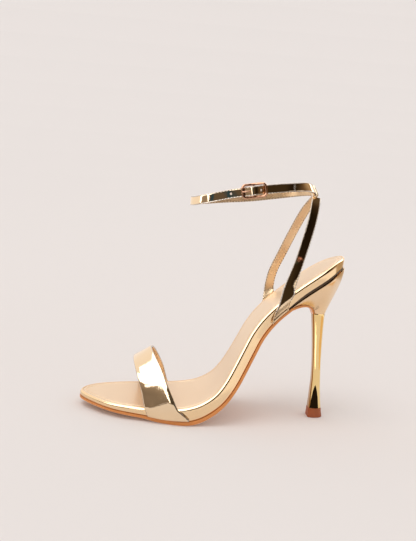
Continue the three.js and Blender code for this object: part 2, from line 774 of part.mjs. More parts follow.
// The frame's wire: a rectangle with round corners that dips at its middle towards the bar.
function buckleRim() {
  const halfLong = BUCKLE_LENGTH / 2 - WIRE / 2;
  const halfHigh = BUCKLE_HEIGHT / 2 - WIRE / 2;
  const x = halfLong - BUCKLE_CORNER;
  const y = halfHigh - BUCKLE_CORNER;
  const quarter = Math.PI / 2;
  const shape = new THREE.Shape();
  shape.moveTo(halfLong, -y);
  shape.lineTo(halfLong, y);
  shape.absarc(x, y, BUCKLE_CORNER, 0, quarter);
  shape.lineTo(-x, halfHigh);
  shape.absarc(-x, y, BUCKLE_CORNER, quarter, 2 * quarter);
  shape.lineTo(-halfLong, -y);
  shape.absarc(-x, -y, BUCKLE_CORNER, 2 * quarter, 3 * quarter);
  shape.lineTo(x, -halfHigh);
  shape.absarc(x, -y, BUCKLE_CORNER, 3 * quarter, 4 * quarter);
  const flat = shape.getSpacedPoints(RIM_STEPS * 4).slice(0, -1);
  const points = flat.map((p) => {
    const dip = THREE.MathUtils.smoothstep(Math.abs(p.x) / halfLong, 0.1, 0.95);
    return inFrame(buckleFrame, p.x, THREE.MathUtils.lerp(barHeight, endBarHeight, dip), p.y);
  });
  const path = new THREE.CatmullRomCurve3(points, true, "centripetal");
  return new THREE.TubeGeometry(path, RIM_STEPS * 4, WIRE / 2, 8, true);
}

function buckleGeometry() {
  const bar = crossBar(BAR / 2, BUCKLE_HEIGHT - WIRE, inFrame(buckleFrame, 0, barHeight, 0));
  return toGeometry(toSolid(buckleRim()).add(toSolid(bar)));
}

// The prong: a ring round the bar and a pin that rests on the front end of the frame.
function prongSolid(grow) {
  const ringRadius = (BAR / 2 + GAP + eyeRadius) / 2;
  const ring = new THREE.TorusGeometry(ringRadius, PRONG / 2 + grow, 8, 24);
  rotated(ring, buckleFrame.along, buckleFrame.up.clone().cross(buckleFrame.along), buckleFrame.up);
  moved(ring, inFrame(buckleFrame, 0, barHeight, 0));
  const rest = endBarHeight + (WIRE + PRONG) / 2 + GAP;
  const over = endBar + WIRE / 3 + grow;
  const bend = [
    [-ringRadius * 0.8, barHeight + ringRadius * 0.6],
    [-ringRadius - PRONG, barHeight + 2.4 * PRONG],
    [-ringRadius - 3 * PRONG, rest],
    [-over, rest],
  ];
  const path = new THREE.CatmullRomCurve3(bend.map(([x, y]) => inFrame(buckleFrame, x, y, 0)));
  const round = new THREE.Shape().absarc(0, 0, PRONG / 2 + grow, 0, 2 * Math.PI);
  const pin = new THREE.ExtrudeGeometry(round, { steps: 14, curveSegments: 5, extrudePath: path });
  return toSolid(ring).add(toSolid(pin));
}

function ankleStrapGeometry() {
  const ribbon = toSolid(sheet(ankleGrid(), ANKLE_STRAP_WALL));
  const whole = ribbon.add(toSolid(eyeGeometry()));
  return toGeometry(whole.subtract(prongSolid(GAP)));
}

// Back straps

// Where the keeper sits: the furthest point back on the ankle strap.
const keeperAt = (() => {
  const steps = 400;
  const places = Array.from({ length: steps }, (_, i) => (i / steps) * ankleLoopLength);
  return places.reduce((a, b) => (ankleFrame(b).origin.x > ankleFrame(a).origin.x ? b : a));
})();
const keeperFrame = ankleFrame(keeperAt);

// A four-sided bar that follows the ankle strap where the keeper is.
function alongStrap(halfOut, halfUp, reach) {
  const steps = [-1, -0.5, 0, 0.5, 1];
  const corners = [[-1, -1], [1, -1], [1, 1], [-1, 1]];
  return loft(
    steps.map((share) => {
      const frame = ankleFrame(keeperAt + share * reach);
      return corners.map(([x, y]) => inFrame(frame, 0, ANKLE_STRAP_WALL / 2 + x * halfOut, y * halfUp));
    }),
  );
}

// The loop that holds the ankle strap at the back.
function keeperSolid() {
  const halfOut = ANKLE_STRAP_WALL / 2 + GAP;
  const halfUp = ANKLE_STRAP_WIDTH / 2 + GAP;
  const outside = alongStrap(halfOut + KEEPER_WALL, halfUp + KEEPER_WALL, KEEPER_WIDTH / 2);
  const inside = alongStrap(halfOut, halfUp, KEEPER_WIDTH / 2 + GAP);
  return toSolid(outside).subtract(toSolid(inside));
}

const keeperFoot = inFrame(
  keeperFrame,
  0,
  ANKLE_STRAP_WALL / 2,
  -ANKLE_STRAP_WIDTH / 2 - GAP - KEEPER_WALL / 2,
);

const TOP_LEAN = -12; // degrees that the straps' section leans where they meet the keeper

function backStrapGrid(side) {
  const sign = side === "outer" ? -1 : 1;
  const foot = strapFoot(backEnds, BACK_STRAP_WIDTH, BACK_STRAP_WALL, side);
  const start = bed(backEnds[side].top.at);
  const free = backRows[side].map((r) =>
    span(
      THREE.MathUtils.lerp(start.x, keeperFoot.x, r.x),
      (sign * r.out * SEAT_WIDTH) / 2,
      THREE.MathUtils.lerp(start.y, keeperFoot.z, r.up),
      r.wide * BACK_STRAP_WIDTH,
      r.lean,
    ),
  );
  const y = sign * KEEPER_WIDTH * 0.3;
  const top = span(keeperFoot.x, y, keeperFoot.z - 2 * GAP, BACK_STRAP_WIDTH, TOP_LEAN);
  return strapGrid([...foot, ...free, top], 32);
}

function backStrapGeometry() {
  const arm = (side) => toSolid(sheet(backStrapGrid(side), BACK_STRAP_WALL));
  return toGeometry(arm("outer").add(arm("inner")).add(keeperSolid()));
}

// The board with room cut under it for the ends of the straps.
function footbedGeometry() {
  const clearance = GAP * 0.9;
  const straps = [
    sheet(toeStrapGrid(), TOE_STRAP_WALL, clearance),
    sheet(backStrapGrid("outer"), BACK_STRAP_WALL, clearance),
    sheet(backStrapGrid("inner"), BACK_STRAP_WALL, clearance),
  ];
  let board = toSolid(boardGeometry());
  for (const strap of straps) board = board.subtract(toSolid(strap));
  return toGeometry(board);
}

// Materials
const mirrorGold = { color: 0xd9b98a, roughness: 0.12, metalness: 1 };
const paleGold = { color: 0xf0cfa4, roughness: 0.4, metalness: 0.35 };
const plated = { color: 0xe2bd72, roughness: 0.08, metalness: 1 };
const roseGold = { color: 0xb87554, roughness: 0.2, metalness: 1 };
const tanEdge = { color: 0xb5713a, roughness: 0.5, metalness: 0 };
const brownTip = { color: 0x8a4b33, roughness: 0.55, metalness: 0 };

const shoe = new THREE.Group();

function addPiece(name, geometry, finish) {
  const mesh = new THREE.Mesh(geometry, new THREE.MeshStandardMaterial(finish));
  mesh.name = name;
  shoe.add(mesh);
}

addPiece("outsole", outsoleGeometry(), tanEdge);
addPiece("footbed", footbedGeometry(), mirrorGold);
addPiece("insole", sockGeometry(), paleGold);
addPiece("toe_strap", sheet(toeStrapGrid(), TOE_STRAP_WALL), mirrorGold);
addPiece("back_strap", backStrapGeometry(), mirrorGold);
addPiece("ankle_strap", ankleStrapGeometry(), mirrorGold);
addPiece("buckle_frame", buckleGeometry(), roseGold);
addPiece("buckle_prong", toGeometry(prongSolid(0)), roseGold);
addPiece("heel_block", blockGeometry(), mirrorGold);
addPiece("heel_stem", stemGeometry(), plated);
addPiece("heel_tip", tipGeometry(), brownTip);

// The origin lies on the floor, under the middle of the shoe.
const box = new THREE.Box3().setFromObject(shoe);
const middle = box.getCenter(new THREE.Vector3());
shoe.position.set(-middle.x, -middle.y, -box.min.z);

const part = new THREE.Group();
part.add(shoe);
export default part;
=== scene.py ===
import math

import bmesh
import bpy
import numpy as np
from mathutils import Matrix, Vector


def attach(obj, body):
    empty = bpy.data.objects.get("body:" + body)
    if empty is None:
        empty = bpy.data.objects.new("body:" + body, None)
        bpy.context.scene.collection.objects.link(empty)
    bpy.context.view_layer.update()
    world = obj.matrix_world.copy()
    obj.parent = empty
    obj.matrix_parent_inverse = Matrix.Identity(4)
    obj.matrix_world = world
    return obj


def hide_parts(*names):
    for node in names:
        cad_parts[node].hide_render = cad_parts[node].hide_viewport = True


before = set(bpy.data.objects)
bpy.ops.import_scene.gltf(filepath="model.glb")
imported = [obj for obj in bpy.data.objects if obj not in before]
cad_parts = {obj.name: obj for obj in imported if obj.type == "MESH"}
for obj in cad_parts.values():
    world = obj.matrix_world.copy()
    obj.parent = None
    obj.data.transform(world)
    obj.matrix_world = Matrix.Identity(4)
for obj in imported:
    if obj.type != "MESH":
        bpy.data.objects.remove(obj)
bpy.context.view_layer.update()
print("frame loaded")


# helpers. Points are in millimetres from the toe tip, on the floor; addObject moves them to the row frame

origin = np.array([98.445, -1.324, 0.0])
gap = 0.3


def toRow(points):
    return (np.asarray(points, float) - origin) / 1000


def clamp(value, low=0.0, high=1.0):
    return min(max(value, low), high)


def smooth(value, low, high):
    t = clamp((value - low) / (high - low))
    return t * t * (3 - 2 * t)


def lerp(a, b, t):
    return a + (b - a) * t


def unit(v):
    v = np.asarray(v, float)
    return v / np.maximum(np.linalg.norm(v, axis=-1, keepdims=True), 1e-9)


# a smooth curve through one column of a table whose first column is the place
def through(rows, column, at):
    last = len(rows) - 1
    i = 0
    while i < last - 1 and at > rows[i + 1][0]:
        i += 1

    def slope(k):
        a, b = rows[max(k - 1, 0)], rows[min(k + 1, last)]
        return (b[column] - a[column]) / (b[0] - a[0])

    width = rows[i + 1][0] - rows[i][0]
    t = clamp((at - rows[i][0]) / width)
    lead = t * (1 - t) ** 2 * slope(i) * width
    trail = t * t * (t - 1) * slope(i + 1) * width
    return lerp(rows[i][column], rows[i + 1][column], t * t * (3 - 2 * t)) + lead + trail


# a curve through points, evenly spread over its stretches
def spline(points, count, loop=False):
    p = [np.asarray(q, float) for q in points]
    n = len(p)
    spans = n if loop else n - 1
    out = []
    for k in range(count + (0 if loop else 1)):
        s = k / count * spans
        i = min(int(s), spans - 1)
        t = s - i
        b, c = p[i % n], p[(i + 1) % n]
        a = p[(i - 1) % n] if loop or i > 0 else 2 * b - c
        d = p[(i + 2) % n] if loop or i + 2 < n else 2 * c - b
        da, db, dc = (max(np.linalg.norm(v) ** 0.5, 1e-4) for v in (b - a, c - b, d - c))
        u = ((b - a) / da - (c - a) / (da + db) + (c - b) / db) * db
        v = ((c - b) / db - (d - b) / (db + dc) + (d - c) / dc) * db
        out.append(b + u * t + (-3 * b + 3 * c - 2 * u - v) * t * t + (2 * b - 2 * c + u + v) * t ** 3)
    return np.array(out)


def addObject(name, vertices, faces, materials, indexes=None, uv=None, soft=True):
    mesh = bpy.data.meshes.new(name)
    mesh.from_pydata([tuple(v) for v in toRow(vertices)], [], [tuple(int(i) for i in f) for f in faces])
    for material in materials:
        mesh.materials.append(material)
    if indexes is not None:
        mesh.polygons.foreach_set("material_index", np.asarray(indexes, np.int32))
    mesh.polygons.foreach_set("use_smooth", [soft] * len(mesh.polygons))
    if uv is not None:
        layer = mesh.uv_layers.new(name="uv")
        loops = np.zeros(len(mesh.loops), np.int32)
        mesh.loops.foreach_get("vertex_index", loops)
        layer.data.foreach_set("uv", np.asarray(uv, np.float32)[loops].ravel())
    mesh.update()
    obj = bpy.data.objects.new(name, mesh)
    bpy.context.scene.collection.objects.link(obj)
    return obj


# welds doubles, turns the faces out, and keeps edges sharper than an angle
def clean(obj, angle=40):
    work = bmesh.new()
    work.from_mesh(obj.data)
    bmesh.ops.remove_doubles(work, verts=work.verts, dist=2e-6)
    bmesh.ops.dissolve_degenerate(work, edges=work.edges, dist=1e-7)
    bmesh.ops.recalc_face_normals(work, faces=work.faces)
    if work.calc_volume(signed=True) < 0:
        bmesh.ops.reverse_faces(work, faces=work.faces)
    for edge in work.edges:
        edge.smooth = len(edge.link_faces) != 2 or edge.calc_face_angle(0) < math.radians(angle)
    work.to_mesh(obj.data)
    work.free()
    return obj


def settle(obj, slotName, *nodes):
    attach(obj, "root")
    if nodes:
        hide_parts(*nodes)
    return obj


# faces of a skin over rows of points; a closed one runs from the last row back to the first
def skin(rowCount, width, loop=True, first=0, closed=False):
    faces = []
    for k in range(rowCount - 1):
        for i in range(width if loop else width - 1):
            a = first + k * width + i
            b = first + k * width + (i + 1) % width
            faces.append((a, b, b + width, a + width))
    if closed:
        last = first + (rowCount - 1) * width
        faces += [(last + i, last + (i + 1) % width, first + (i + 1) % width, first + i)
                  for i in range(width)]
    return faces


# a skin over loops of points; its last two faces fill the ends
def loft(loops):
    count, width = len(loops), len(loops[0])
    ends = [tuple(range(width)), tuple((count - 1) * width + i for i in reversed(range(width)))]
    return np.concatenate([np.asarray(loop, float) for loop in loops]), skin(count, width) + ends


# round wire along a path; side is the direction that its first point looks in
def tube(path, radius, sides=14, loop=False, side=(0, 0, 1)):
    path, side = np.asarray(path, float), np.asarray(side, float)
    if loop:
        tangent = unit(np.roll(path, -1, 0) - np.roll(path, 1, 0))
    else:
        tangent = unit(np.gradient(path, axis=0))
    turns = np.arange(sides) * 2 * math.pi / sides
    rings = []
    for p, t, r in zip(path, tangent, np.broadcast_to(radius, len(path))):
        u = unit(side - t * np.dot(side, t))
        v = np.cross(t, u)
        rings.append([p + r * (math.cos(angle) * u + math.sin(angle) * v) for angle in turns])
    if loop:
        return np.concatenate(rings), skin(len(rings), sides, closed=True)
    return loft(rings)


def joined(parts):
    vertices, faces, first = [], [], 0
    for v, f in parts:
        vertices.extend(v)
        faces.extend(tuple(i + first for i in face) for face in f)
        first += len(v)
    return np.array(vertices), faces


# materials

def newGroup(name, inputs, outputs):
    group = bpy.data.node_groups.new(name, "ShaderNodeTree")
    for label, kind, value in inputs:
        socket = group.interface.new_socket(label, in_out="INPUT", socket_type=kind)
        socket.default_value = value
    for label, kind in outputs:
        group.interface.new_socket(label, in_out="OUTPUT", socket_type=kind)
    return group, group.nodes.new("NodeGroupInput"), group.nodes.new("NodeGroupOutput")


def addNode(tree, kind, links=None, **settings):
    item = tree.nodes.new(kind)
    for key, value in settings.items():
        setattr(item, key, value)
    for key, value in (links or {}).items():
        socket = item.inputs[key]
        if isinstance(value, bpy.types.NodeSocket):
            tree.links.new(value, socket)
        else:
            socket.default_value = value
    return item


# fine grain with a few long creases, as a bumped normal and a height
def makeGrainGroup():
    group, entry, leave = newGroup(
        "leatherGrain",
        [("Grain Size", "NodeSocketFloat", 900.0), ("Crease Size", "NodeSocketFloat", 40.0),
         ("Grain", "NodeSocketFloat", 0.1), ("Crease", "NodeSocketFloat", 0.2)],
        [("Normal", "NodeSocketVector"), ("Mask", "NodeSocketFloat")],
    )
    place = addNode(group, "ShaderNodeTexCoord").outputs["Object"]
    fine = addNode(group, "ShaderNodeTexVoronoi", {"Vector": place, "Scale": entry.outputs["Grain Size"]})
    wide = addNode(group, "ShaderNodeTexNoise", {
        "Vector": place, "Scale": entry.outputs["Crease Size"], "Detail": 3.0})
    small = addNode(group, "ShaderNodeBump", {
        "Height": fine.outputs["Distance"], "Strength": entry.outputs["Grain"], "Distance": 0.0002})
    large = addNode(group, "ShaderNodeBump", {
        "Height": wide.outputs["Fac"], "Strength": entry.outputs["Crease"], "Distance": 0.002,
        "Normal": small.outputs["Normal"]})
    group.links.new(large.outputs["Normal"], leave.inputs["Normal"])
    group.links.new(wide.outputs["Fac"], leave.inputs["Mask"])
    return group


# slow drift between two tones, with a roughness that goes with it
def makeToneGroup():
    group, entry, leave = newGroup(
        "toneDrift",
        [("Tone", "NodeSocketColor", (1, 1, 1, 1)), ("Other Tone", "NodeSocketColor", (1, 1, 1, 1)),
         ("Size", "NodeSocketFloat", 60.0), ("Smoothest", "NodeSocketFloat", 0.1),
         ("Roughest", "NodeSocketFloat", 0.2)],
        [("Color", "NodeSocketColor"), ("Roughness", "NodeSocketFloat")],
    )
    place = addNode(group, "ShaderNodeTexCoord").outputs["Object"]
    cloud = addNode(group, "ShaderNodeTexNoise", {
        "Vector": place, "Scale": entry.outputs["Size"], "Detail": 4.0})
    blend = group.nodes.new("ShaderNodeMix")
    blend.data_type = "RGBA"
    group.links.new(cloud.outputs["Fac"], blend.inputs[0])
    group.links.new(entry.outputs["Tone"], blend.inputs[6])
    group.links.new(entry.outputs["Other Tone"], blend.inputs[7])
    rough = addNode(group, "ShaderNodeMapRange", {
        "Value": cloud.outputs["Fac"], "To Min": entry.outputs["Smoothest"],
        "To Max": entry.outputs["Roughest"]})
    group.links.new(blend.outputs[2], leave.inputs["Color"])
    group.links.new(rough.outputs["Result"], leave.inputs["Roughness"])
    return group


grainGroup = makeGrainGroup()
toneGroup = makeToneGroup()


def makeMaterial(name, tone, other, size, rough, metallic=0.0, grain=None, **sockets):
    material = bpy.data.materials.new(name)
    material.use_nodes = True
    tree = material.node_tree
    shader = tree.nodes["Principled BSDF"]
    shader.inputs["Metallic"].default_value = metallic
    for label, value in sockets.items():
        shader.inputs[label.replace("_", " ")].default_value = value
    drift = addNode(tree, "ShaderNodeGroup", node_tree=toneGroup)
    for label, value in (("Tone", (*tone, 1)), ("Other Tone", (*other, 1)), ("Size", size),
                         ("Smoothest", rough[0]), ("Roughest", rough[1])):
        drift.inputs[label].default_value = value
    tree.links.new(drift.outputs["Color"], shader.inputs["Base Color"])
    tree.links.new(drift.outputs["Roughness"], shader.inputs["Roughness"])
    if grain:
        relief = addNode(tree, "ShaderNodeGroup", node_tree=grainGroup)
        for label, value in zip(("Grain Size", "Crease Size", "Grain", "Crease"), grain):
            relief.inputs[label].default_value = value
        tree.links.new(relief.outputs["Normal"], shader.inputs["Normal"])
    return material


# tones are linear; rough is smoothest and roughest; grain is grain size, crease size, and both strengths
mirrorFoil = makeMaterial(
    "mirrorFoil", (0.86, 0.66, 0.43), (0.90, 0.71, 0.49), 90, (0.015, 0.04), 1.0, (1500, 55, 0.03, 0.05))
bandFoil = makeMaterial(
    "bandFoil", (0.91, 0.67, 0.40), (0.95, 0.72, 0.45), 60, (0.10, 0.17), 1.0, (1700, 60, 0.05, 0.05))
wrappedFoil = makeMaterial(
    "wrappedFoil", (0.88, 0.64, 0.39), (0.93, 0.69, 0.44), 50, (0.16, 0.25), 1.0, (1700, 60, 0.06, 0.05))
turnedEdge = makeMaterial(
    "turnedEdge", (0.52, 0.46, 0.40), (0.66, 0.59, 0.52), 300, (0.2, 0.32), 1.0, (2200, 300, 0.12, 0.2))
lining = makeMaterial(
    "lining", (0.80, 0.57, 0.34), (0.88, 0.67, 0.44), 120, (0.22, 0.34), 0.8, (1800, 120, 0.12, 0.1))
sockSatin = makeMaterial(
    "sockSatin", (0.783, 0.567, 0.367), (0.819, 0.612, 0.41), 45, (0.30, 0.38), 0.3, (1600, 70, 0.10, 0.08))
soleEdge = makeMaterial(
    "soleEdge", (0.64, 0.215, 0.047), (0.76, 0.29, 0.07), 130, (0.38, 0.55), 0.0, (1300, 160, 0.15, 0.15))
soleUnder = makeMaterial(
    "soleUnder", (0.93, 0.59, 0.42), (0.97, 0.66, 0.47), 110, (0.45, 0.6), 0.0, (1300, 120, 0.15, 0.1))
seamShade = makeMaterial(
    "seamShade", (0.045, 0.022, 0.010), (0.075, 0.038, 0.018), 200, (0.4, 0.6), 0.0, (1500, 200, 0.1, 0.1))
platedGold = makeMaterial("platedGold", (0.93, 0.68, 0.30), (0.96, 0.73, 0.36), 80, (0.02, 0.04), 1.0)
# a darker copy of the plated gold, a painted dark reflection for the heel stem's front corners
platedPaintedReflection = makeMaterial("platedPaintedReflection", (0.45, 0.22, 0.05), (0.52, 0.27, 0.07), 80, (0.06, 0.12), 1.0)
roseGold = makeMaterial("roseGold", (0.46, 0.25, 0.16), (0.56, 0.32, 0.21), 200, (0.08, 0.16), 1.0)
tipBrown = makeMaterial(
    "tipBrown", (0.30, 0.063, 0.012), (0.40, 0.091, 0.018), 150, (0.5, 0.65), 0.0, (1800, 240, 0.15, 0.1))
greyThread = makeMaterial("greyThread", (0.16, 0.12, 0.09), (0.24, 0.19, 0.15), 500, (0.4, 0.55), 0.3)
brownThread = makeMaterial("brownThread", (0.12, 0.06, 0.025), (0.20, 0.10, 0.045), 500, (0.5, 0.65))
holeShade = makeMaterial("holeShade", (0.80, 0.66, 0.55), (0.88, 0.74, 0.62), 500, (0.5, 0.65))
print("materials done")


# the bed of the foot and the outline of the sole

sole = {
    "length": 195, "heelRise": 117.5, "ballWidth": 77, "seatWidth": 48.5,
    "toeRound": 50, "heelRound": 30, "endUpright": 0.75,
    "board": 8.35, "outsole": 3.0, "flat": 0.4, "ballAt": 0.29,
    "stations": 170, "crowding": 0.88,
}
# place, x and z as shares of the length and of the heel's rise
bedRows = [
    (0.0, 0.005, 0.013), (0.1, 0.128, 0.002), (0.2, 0.254, 0.001), (0.26, 0.331, 0.006),
    (0.32, 0.406, 0.02), (0.37, 0.467, 0.051), (0.42, 0.52, 0.11), (0.47, 0.558, 0.192),
    (0.53, 0.593, 0.305), (0.58, 0.62, 0.401), (0.63, 0.647, 0.494), (0.68, 0.683, 0.583),
    (0.74, 0.734, 0.675), (0.84, 0.831, 0.813), (0.95, 0.944, 0.949), (1.0, 1.0, 1.0),
]
# place, outer and inner half width in millimetres
widthRows = [
    (a, o * sole["ballWidth"], i * sole["ballWidth"]) for a, o, i in [
        (0.0, 0.27, 0.415), (0.1, 0.4, 0.445), (0.2, 0.445, 0.468), (0.27, 0.487, 0.488),
        (0.33, 0.518, 0.478), (0.4, 0.495, 0.418)]
] + [
    (a, o * sole["seatWidth"], i * sole["seatWidth"]) for a, o, i in [
        (0.5, 0.647, 0.528), (0.6, 0.553, 0.47), (0.7, 0.497, 0.47), (0.8, 0.493, 0.485),
        (0.88, 0.499, 0.503), (1.0, 0.499, 0.511)]
]
# place, depth of the board and of the outsole as shares of their depths at the ball
depthRows = [
    (0.0, 0.45, 0.55), (0.1, 0.47, 0.6), (0.2, 0.63, 0.72), (0.245, 0.83, 0.9), (0.29, 1.0, 1.0),
    (0.34, 1.15, 1.0), (0.39, 1.09, 0.83), (0.45, 1.03, 0.65), (0.7, 1.01, 0.6), (1.0, 1.05, 0.6),
]

bedPlaces = np.linspace(0, 1, 1501)
bedPoints = np.array([
    (sole["length"] * through(bedRows, 1, s), sole["heelRise"] * through(bedRows, 2, s)) for s in bedPlaces])
bedLength = np.linalg.norm(np.diff(bedPoints, axis=0), axis=1).sum()
bedAngles = np.arctan2(*np.gradient(bedPoints, axis=0).T[::-1])


def bedAngle(along):
    return np.interp(along, bedPlaces, bedAngles)


def onBed(along):
    return np.array([np.interp(along, bedPlaces, bedPoints[:, k]) for k in (0, 1)])


def boardDepth(along):
    return sole["board"] * through(depthRows, 1, along)


def soleDepth(along):
    return sole["outsole"] * through(depthRows, 2, along)


ballTop = ((sole["board"] + gap + sole["outsole"]) * math.cos(bedAngle(sole["ballAt"]))
           - onBed(sole["ballAt"])[1] - sole["flat"])


def bed(along):
    return onBed(along) + np.array([0, ballTop])


# a point at a place along the bed, across it and above it
def place(along, across, above):
    p = bed(along)
    upright = sole["endUpright"] * max(smooth(along, 0.86, 1), 1 - smooth(along, 0, 0.1))
    angle = bedAngle(along) * (1 - upright)
    return np.array([p[0] - math.sin(angle) * above, across, p[1] + math.cos(angle) * above])


def halfWidth(along, side):
    toe = min(along * bedLength / sole["toeRound"], 1)
    heel = min((1 - along) * bedLength / sole["heelRound"], 1)
    rounding = math.sqrt(max(1 - (1 - toe) ** 2, 0)) * math.sqrt(max(1 - (1 - heel) ** 2, 0))
    return rounding * through(widthRows, 1 if side < 0 else 2, along)


def stations(start, end, count):
    t = np.linspace(0, 1, count + 1)
    return start + (end - start) * (t - sole["crowding"] / (2 * math.pi) * np.sin(2 * math.pi * t))


stationList = stations(0, 1, sole["stations"])
flatOutline = np.array(
    [(s * bedLength, -halfWidth(s, -1)) for s in stationList]
    + [(s * bedLength, halfWidth(s, 1)) for s in stationList[-2:0:-1]])


# the outline rolled out flat and pulled in, as places along and distances across
def outline(inset):
    d = unit(np.roll(flatOutline, -1, 0) - np.roll(flatOutline, 1, 0))
    along = np.clip((flatOutline[:, 0] - d[:, 1] * inset) / bedLength, 0, 1)
    return np.stack([along, flatOutline[:, 1] + d[:, 0] * inset], 1)


# rings of the sole, from a list of insets and heights, and a fill across the last or first ring
def soleRings(rings):
    points = []
    for inset, above in rings:
        for along, across in outline(inset):
            height = above(along) if callable(above) else above
            points.append(place(along, across, height))
    return points


def fillAcross(inset, above, columns, first, ringStart):
    ring = outline(inset)
    n = sole["stations"]
    total = len(ring)
    points, faces = [], []

    def index(i, c):
        if c == 0:
            return ringStart + i
        if c == columns:
            return ringStart + total - i
        return first + (i - 1) * (columns - 1) + c - 1

    for i in range(1, n):
        a, b = ring[i], ring[total - i]
        for c in range(1, columns):
            t = c / columns
            along, across = lerp(a, b, t)
            points.append(place(along, across, above(along, 1 - abs(2 * t - 1))))
    for i in range(1, n - 1):
        for c in range(columns):
            faces.append((index(i, c), index(i + 1, c), index(i + 1, c + 1), index(i, c + 1)))
    for c in range(columns):
        faces.append((ringStart, index(1, c), index(1, c + 1)))
        faces.append((ringStart + n, index(n - 1, c + 1), index(n - 1, c)))
    return points, faces


# wrapped board: a rolled top edge, a flat side and a bottom edge that curls under, deepest at the seat
board = {
    "edgeRise": 1.9, "edgeInset": 1.5, "sideEnd": 0.3, "undercut": 0.3, "archUndercut": 1.0, "archFrom": 0.3,
    "archTo": 0.4, "curl": 0.6, "seatCurl": 2.1, "seatFrom": 0.72, "seatTo": 0.84, "curlInset": 0.8,
    "shadeFrom": 0.74, "sockInset": 1.9, "sockRoom": 0.15, "sockFloor": -1.2, "fillInset": 8, "rollSteps": 7,
}


def makeFootbed():
    steps, hold = board["rollSteps"], board["edgeRise"] + board["sideEnd"]
    rim = board["sockInset"] - board["sockRoom"]

    def curlAt(along):
        return lerp(board["curl"], board["seatCurl"], smooth(along, board["seatFrom"], board["seatTo"]))

    def undercutAt(along):
        return lerp(board["undercut"], board["archUndercut"],
                    smooth(along, board["archFrom"], board["archTo"]))

    # a ring whose inset and height may change along the sole
    def ring(insetAt, heightAt):
        points = []
        for (along, across), (alongIn, acrossIn) in zip(outline(0), outline(1)):
            inset, height = insetAt(along), heightAt(along)
            points.append(place(clamp(along + (alongIn - along) * inset),
                                across + (acrossIn - across) * inset, height))
        return points

    points = soleRings([(board["fillInset"], lambda s: -boardDepth(s))])
    for turn in np.linspace(0, math.pi / 2, steps):
        points += ring(lambda s: undercutAt(s) + curlAt(s) * (1 - math.sin(turn)) * board["curlInset"],
                       lambda s: -boardDepth(s) + curlAt(s) * (1 - math.cos(turn)))
    for share in (0.05, 0.5, 1):
        points += ring(lambda s: undercutAt(s) * (1 - share),
                       lambda s: lerp(-boardDepth(s) + curlAt(s), -hold, share))
    rest = [(board["edgeInset"] * (1 - math.cos(turn)), -board["edgeRise"] * (1 - math.sin(turn)))
            for turn in np.linspace(0, math.pi / 2, steps + 1)]
    rest += [(rim, -0.02), (rim, board["sockFloor"])]
    points += soleRings(rest)
    rowCount, width = 4 + steps + len(rest), len(flatOutline)
    faces = skin(rowCount, width)
    indexes = []
    for k in range(rowCount - 1):
        for i in range(width):
            along = stationList[i] if i <= sole["stations"] else stationList[2 * sole["stations"] - i]
            indexes.append(1 if 1 <= k < steps and along > board["shadeFrom"] else 0)
    for inset, above, ringStart in ((board["fillInset"], lambda s, t: -boardDepth(s), 0),
                                    (rim, lambda s, t: board["sockFloor"], (rowCount - 1) * width)):
        fill, fillFaces = fillAcross(inset, above, 6, len(points), ringStart)
        points += fill
        faces += fillFaces
        indexes += [0] * len(fillFaces)
    obj = addObject("footbedShell", points, faces, [bandFoil, seamShade], indexes)
    return settle(clean(obj, 50), "mirror_gold", "footbed")


# padded sock with a pressed line that follows its edge
sock = {
    "lineInset": 5.0, "lineWidth": 0.7, "lineDepth": 0.65, "crown": 0.125, "edge": 0.6, "floor": -1.0,
    "lip": 0.03,
}


def makeSock():
    inset, line, half = board["sockInset"], sock["lineInset"], sock["lineWidth"]
    edge, lip = sock["edge"], sock["lip"]
    rings = [(inset, sock["floor"]), (inset, -edge)]
    rings += [(inset + edge * (1 - math.cos(turn)), -edge * (1 - math.sin(turn)))
              for turn in np.linspace(0, math.pi / 2, 5)[1:]]
    # across the pressed line: steps in half widths, and depth
    for step, above in ((-2, 0), (-1, -lip), (-0.4, -sock["lineDepth"] * 0.8), (0, -sock["lineDepth"]),
                        (0.4, -sock["lineDepth"] * 0.8), (1, -lip), (2, 0), (4, lip)):
        rings.append((line + step * half, above))
    points, faces = soleRings(rings), skin(len(rings), len(flatOutline))
    top, topFaces = fillAcross(rings[-1][0], lambda s, t: lip + sock["crown"] * smooth(t, 0, 1), 18,
                               len(points), (len(rings) - 1) * len(flatOutline))
    low, lowFaces = fillAcross(inset, lambda s, t: sock["floor"], 6, len(points) + len(top), 0)
    obj = addObject("insoleSock", points + top + low, faces + topFaces + lowFaces, [sockSatin])
    return settle(clean(obj, 60), "pale_sock", "insole")


# the heel: block, stem and tip share one section, round at the back and flat in front

heel = {
    "stemTop": 81.2, "stemLength": 10, "stemWidth": 9.8, "setback": 12, "cut": 0.6,
    "tip": 7.2, "tipFlare": 0.12, "flap": 1.5, "flapStart": 0.77,
    "ribs": 34, "sides": 72, "cornerSteps": 8, "corner": 0.28,
    "blockIn": 0.3, "turnEnd": 0.75, "climb": 0.45, "climbUp": 0.55, "pinch": 2, "drop": 0.42,
    "frontTrail": -1.3, "backTrail": 3.2, "trailOut": 1.2, "trailUp": 0.35,
}
# height share, front and back over the length, width share
stemRows = [
    (0.09, -0.52, 0.5, 1.04), (0.17, -0.49, 0.41, 0.92), (0.25, -0.47, 0.34, 0.82), (0.38, -0.44, 0.26, 0.74),
    (0.57, -0.5, 0.18, 0.72), (0.82, -0.67, 0.14, 0.84), (1.0, -0.84, 0.15, 1.0),
]
stemAxis = sole["length"] - heel["setback"]
stemBack = stemAxis + heel["stemLength"] * stemRows[-1][2]
blockFront = stemAxis + heel["stemLength"] * stemRows[-1][1] + heel["flap"]


def section(front, back, halfWide, height, count):
    radius = (back - front) / (1 + heel["cut"])
    turn = math.pi - math.acos(heel["cut"])
    angles = np.linspace(-turn, turn, count)
    return np.stack([back - radius + radius * np.cos(angles), halfWide * np.sin(angles),
                     np.full(count, height)], 1)


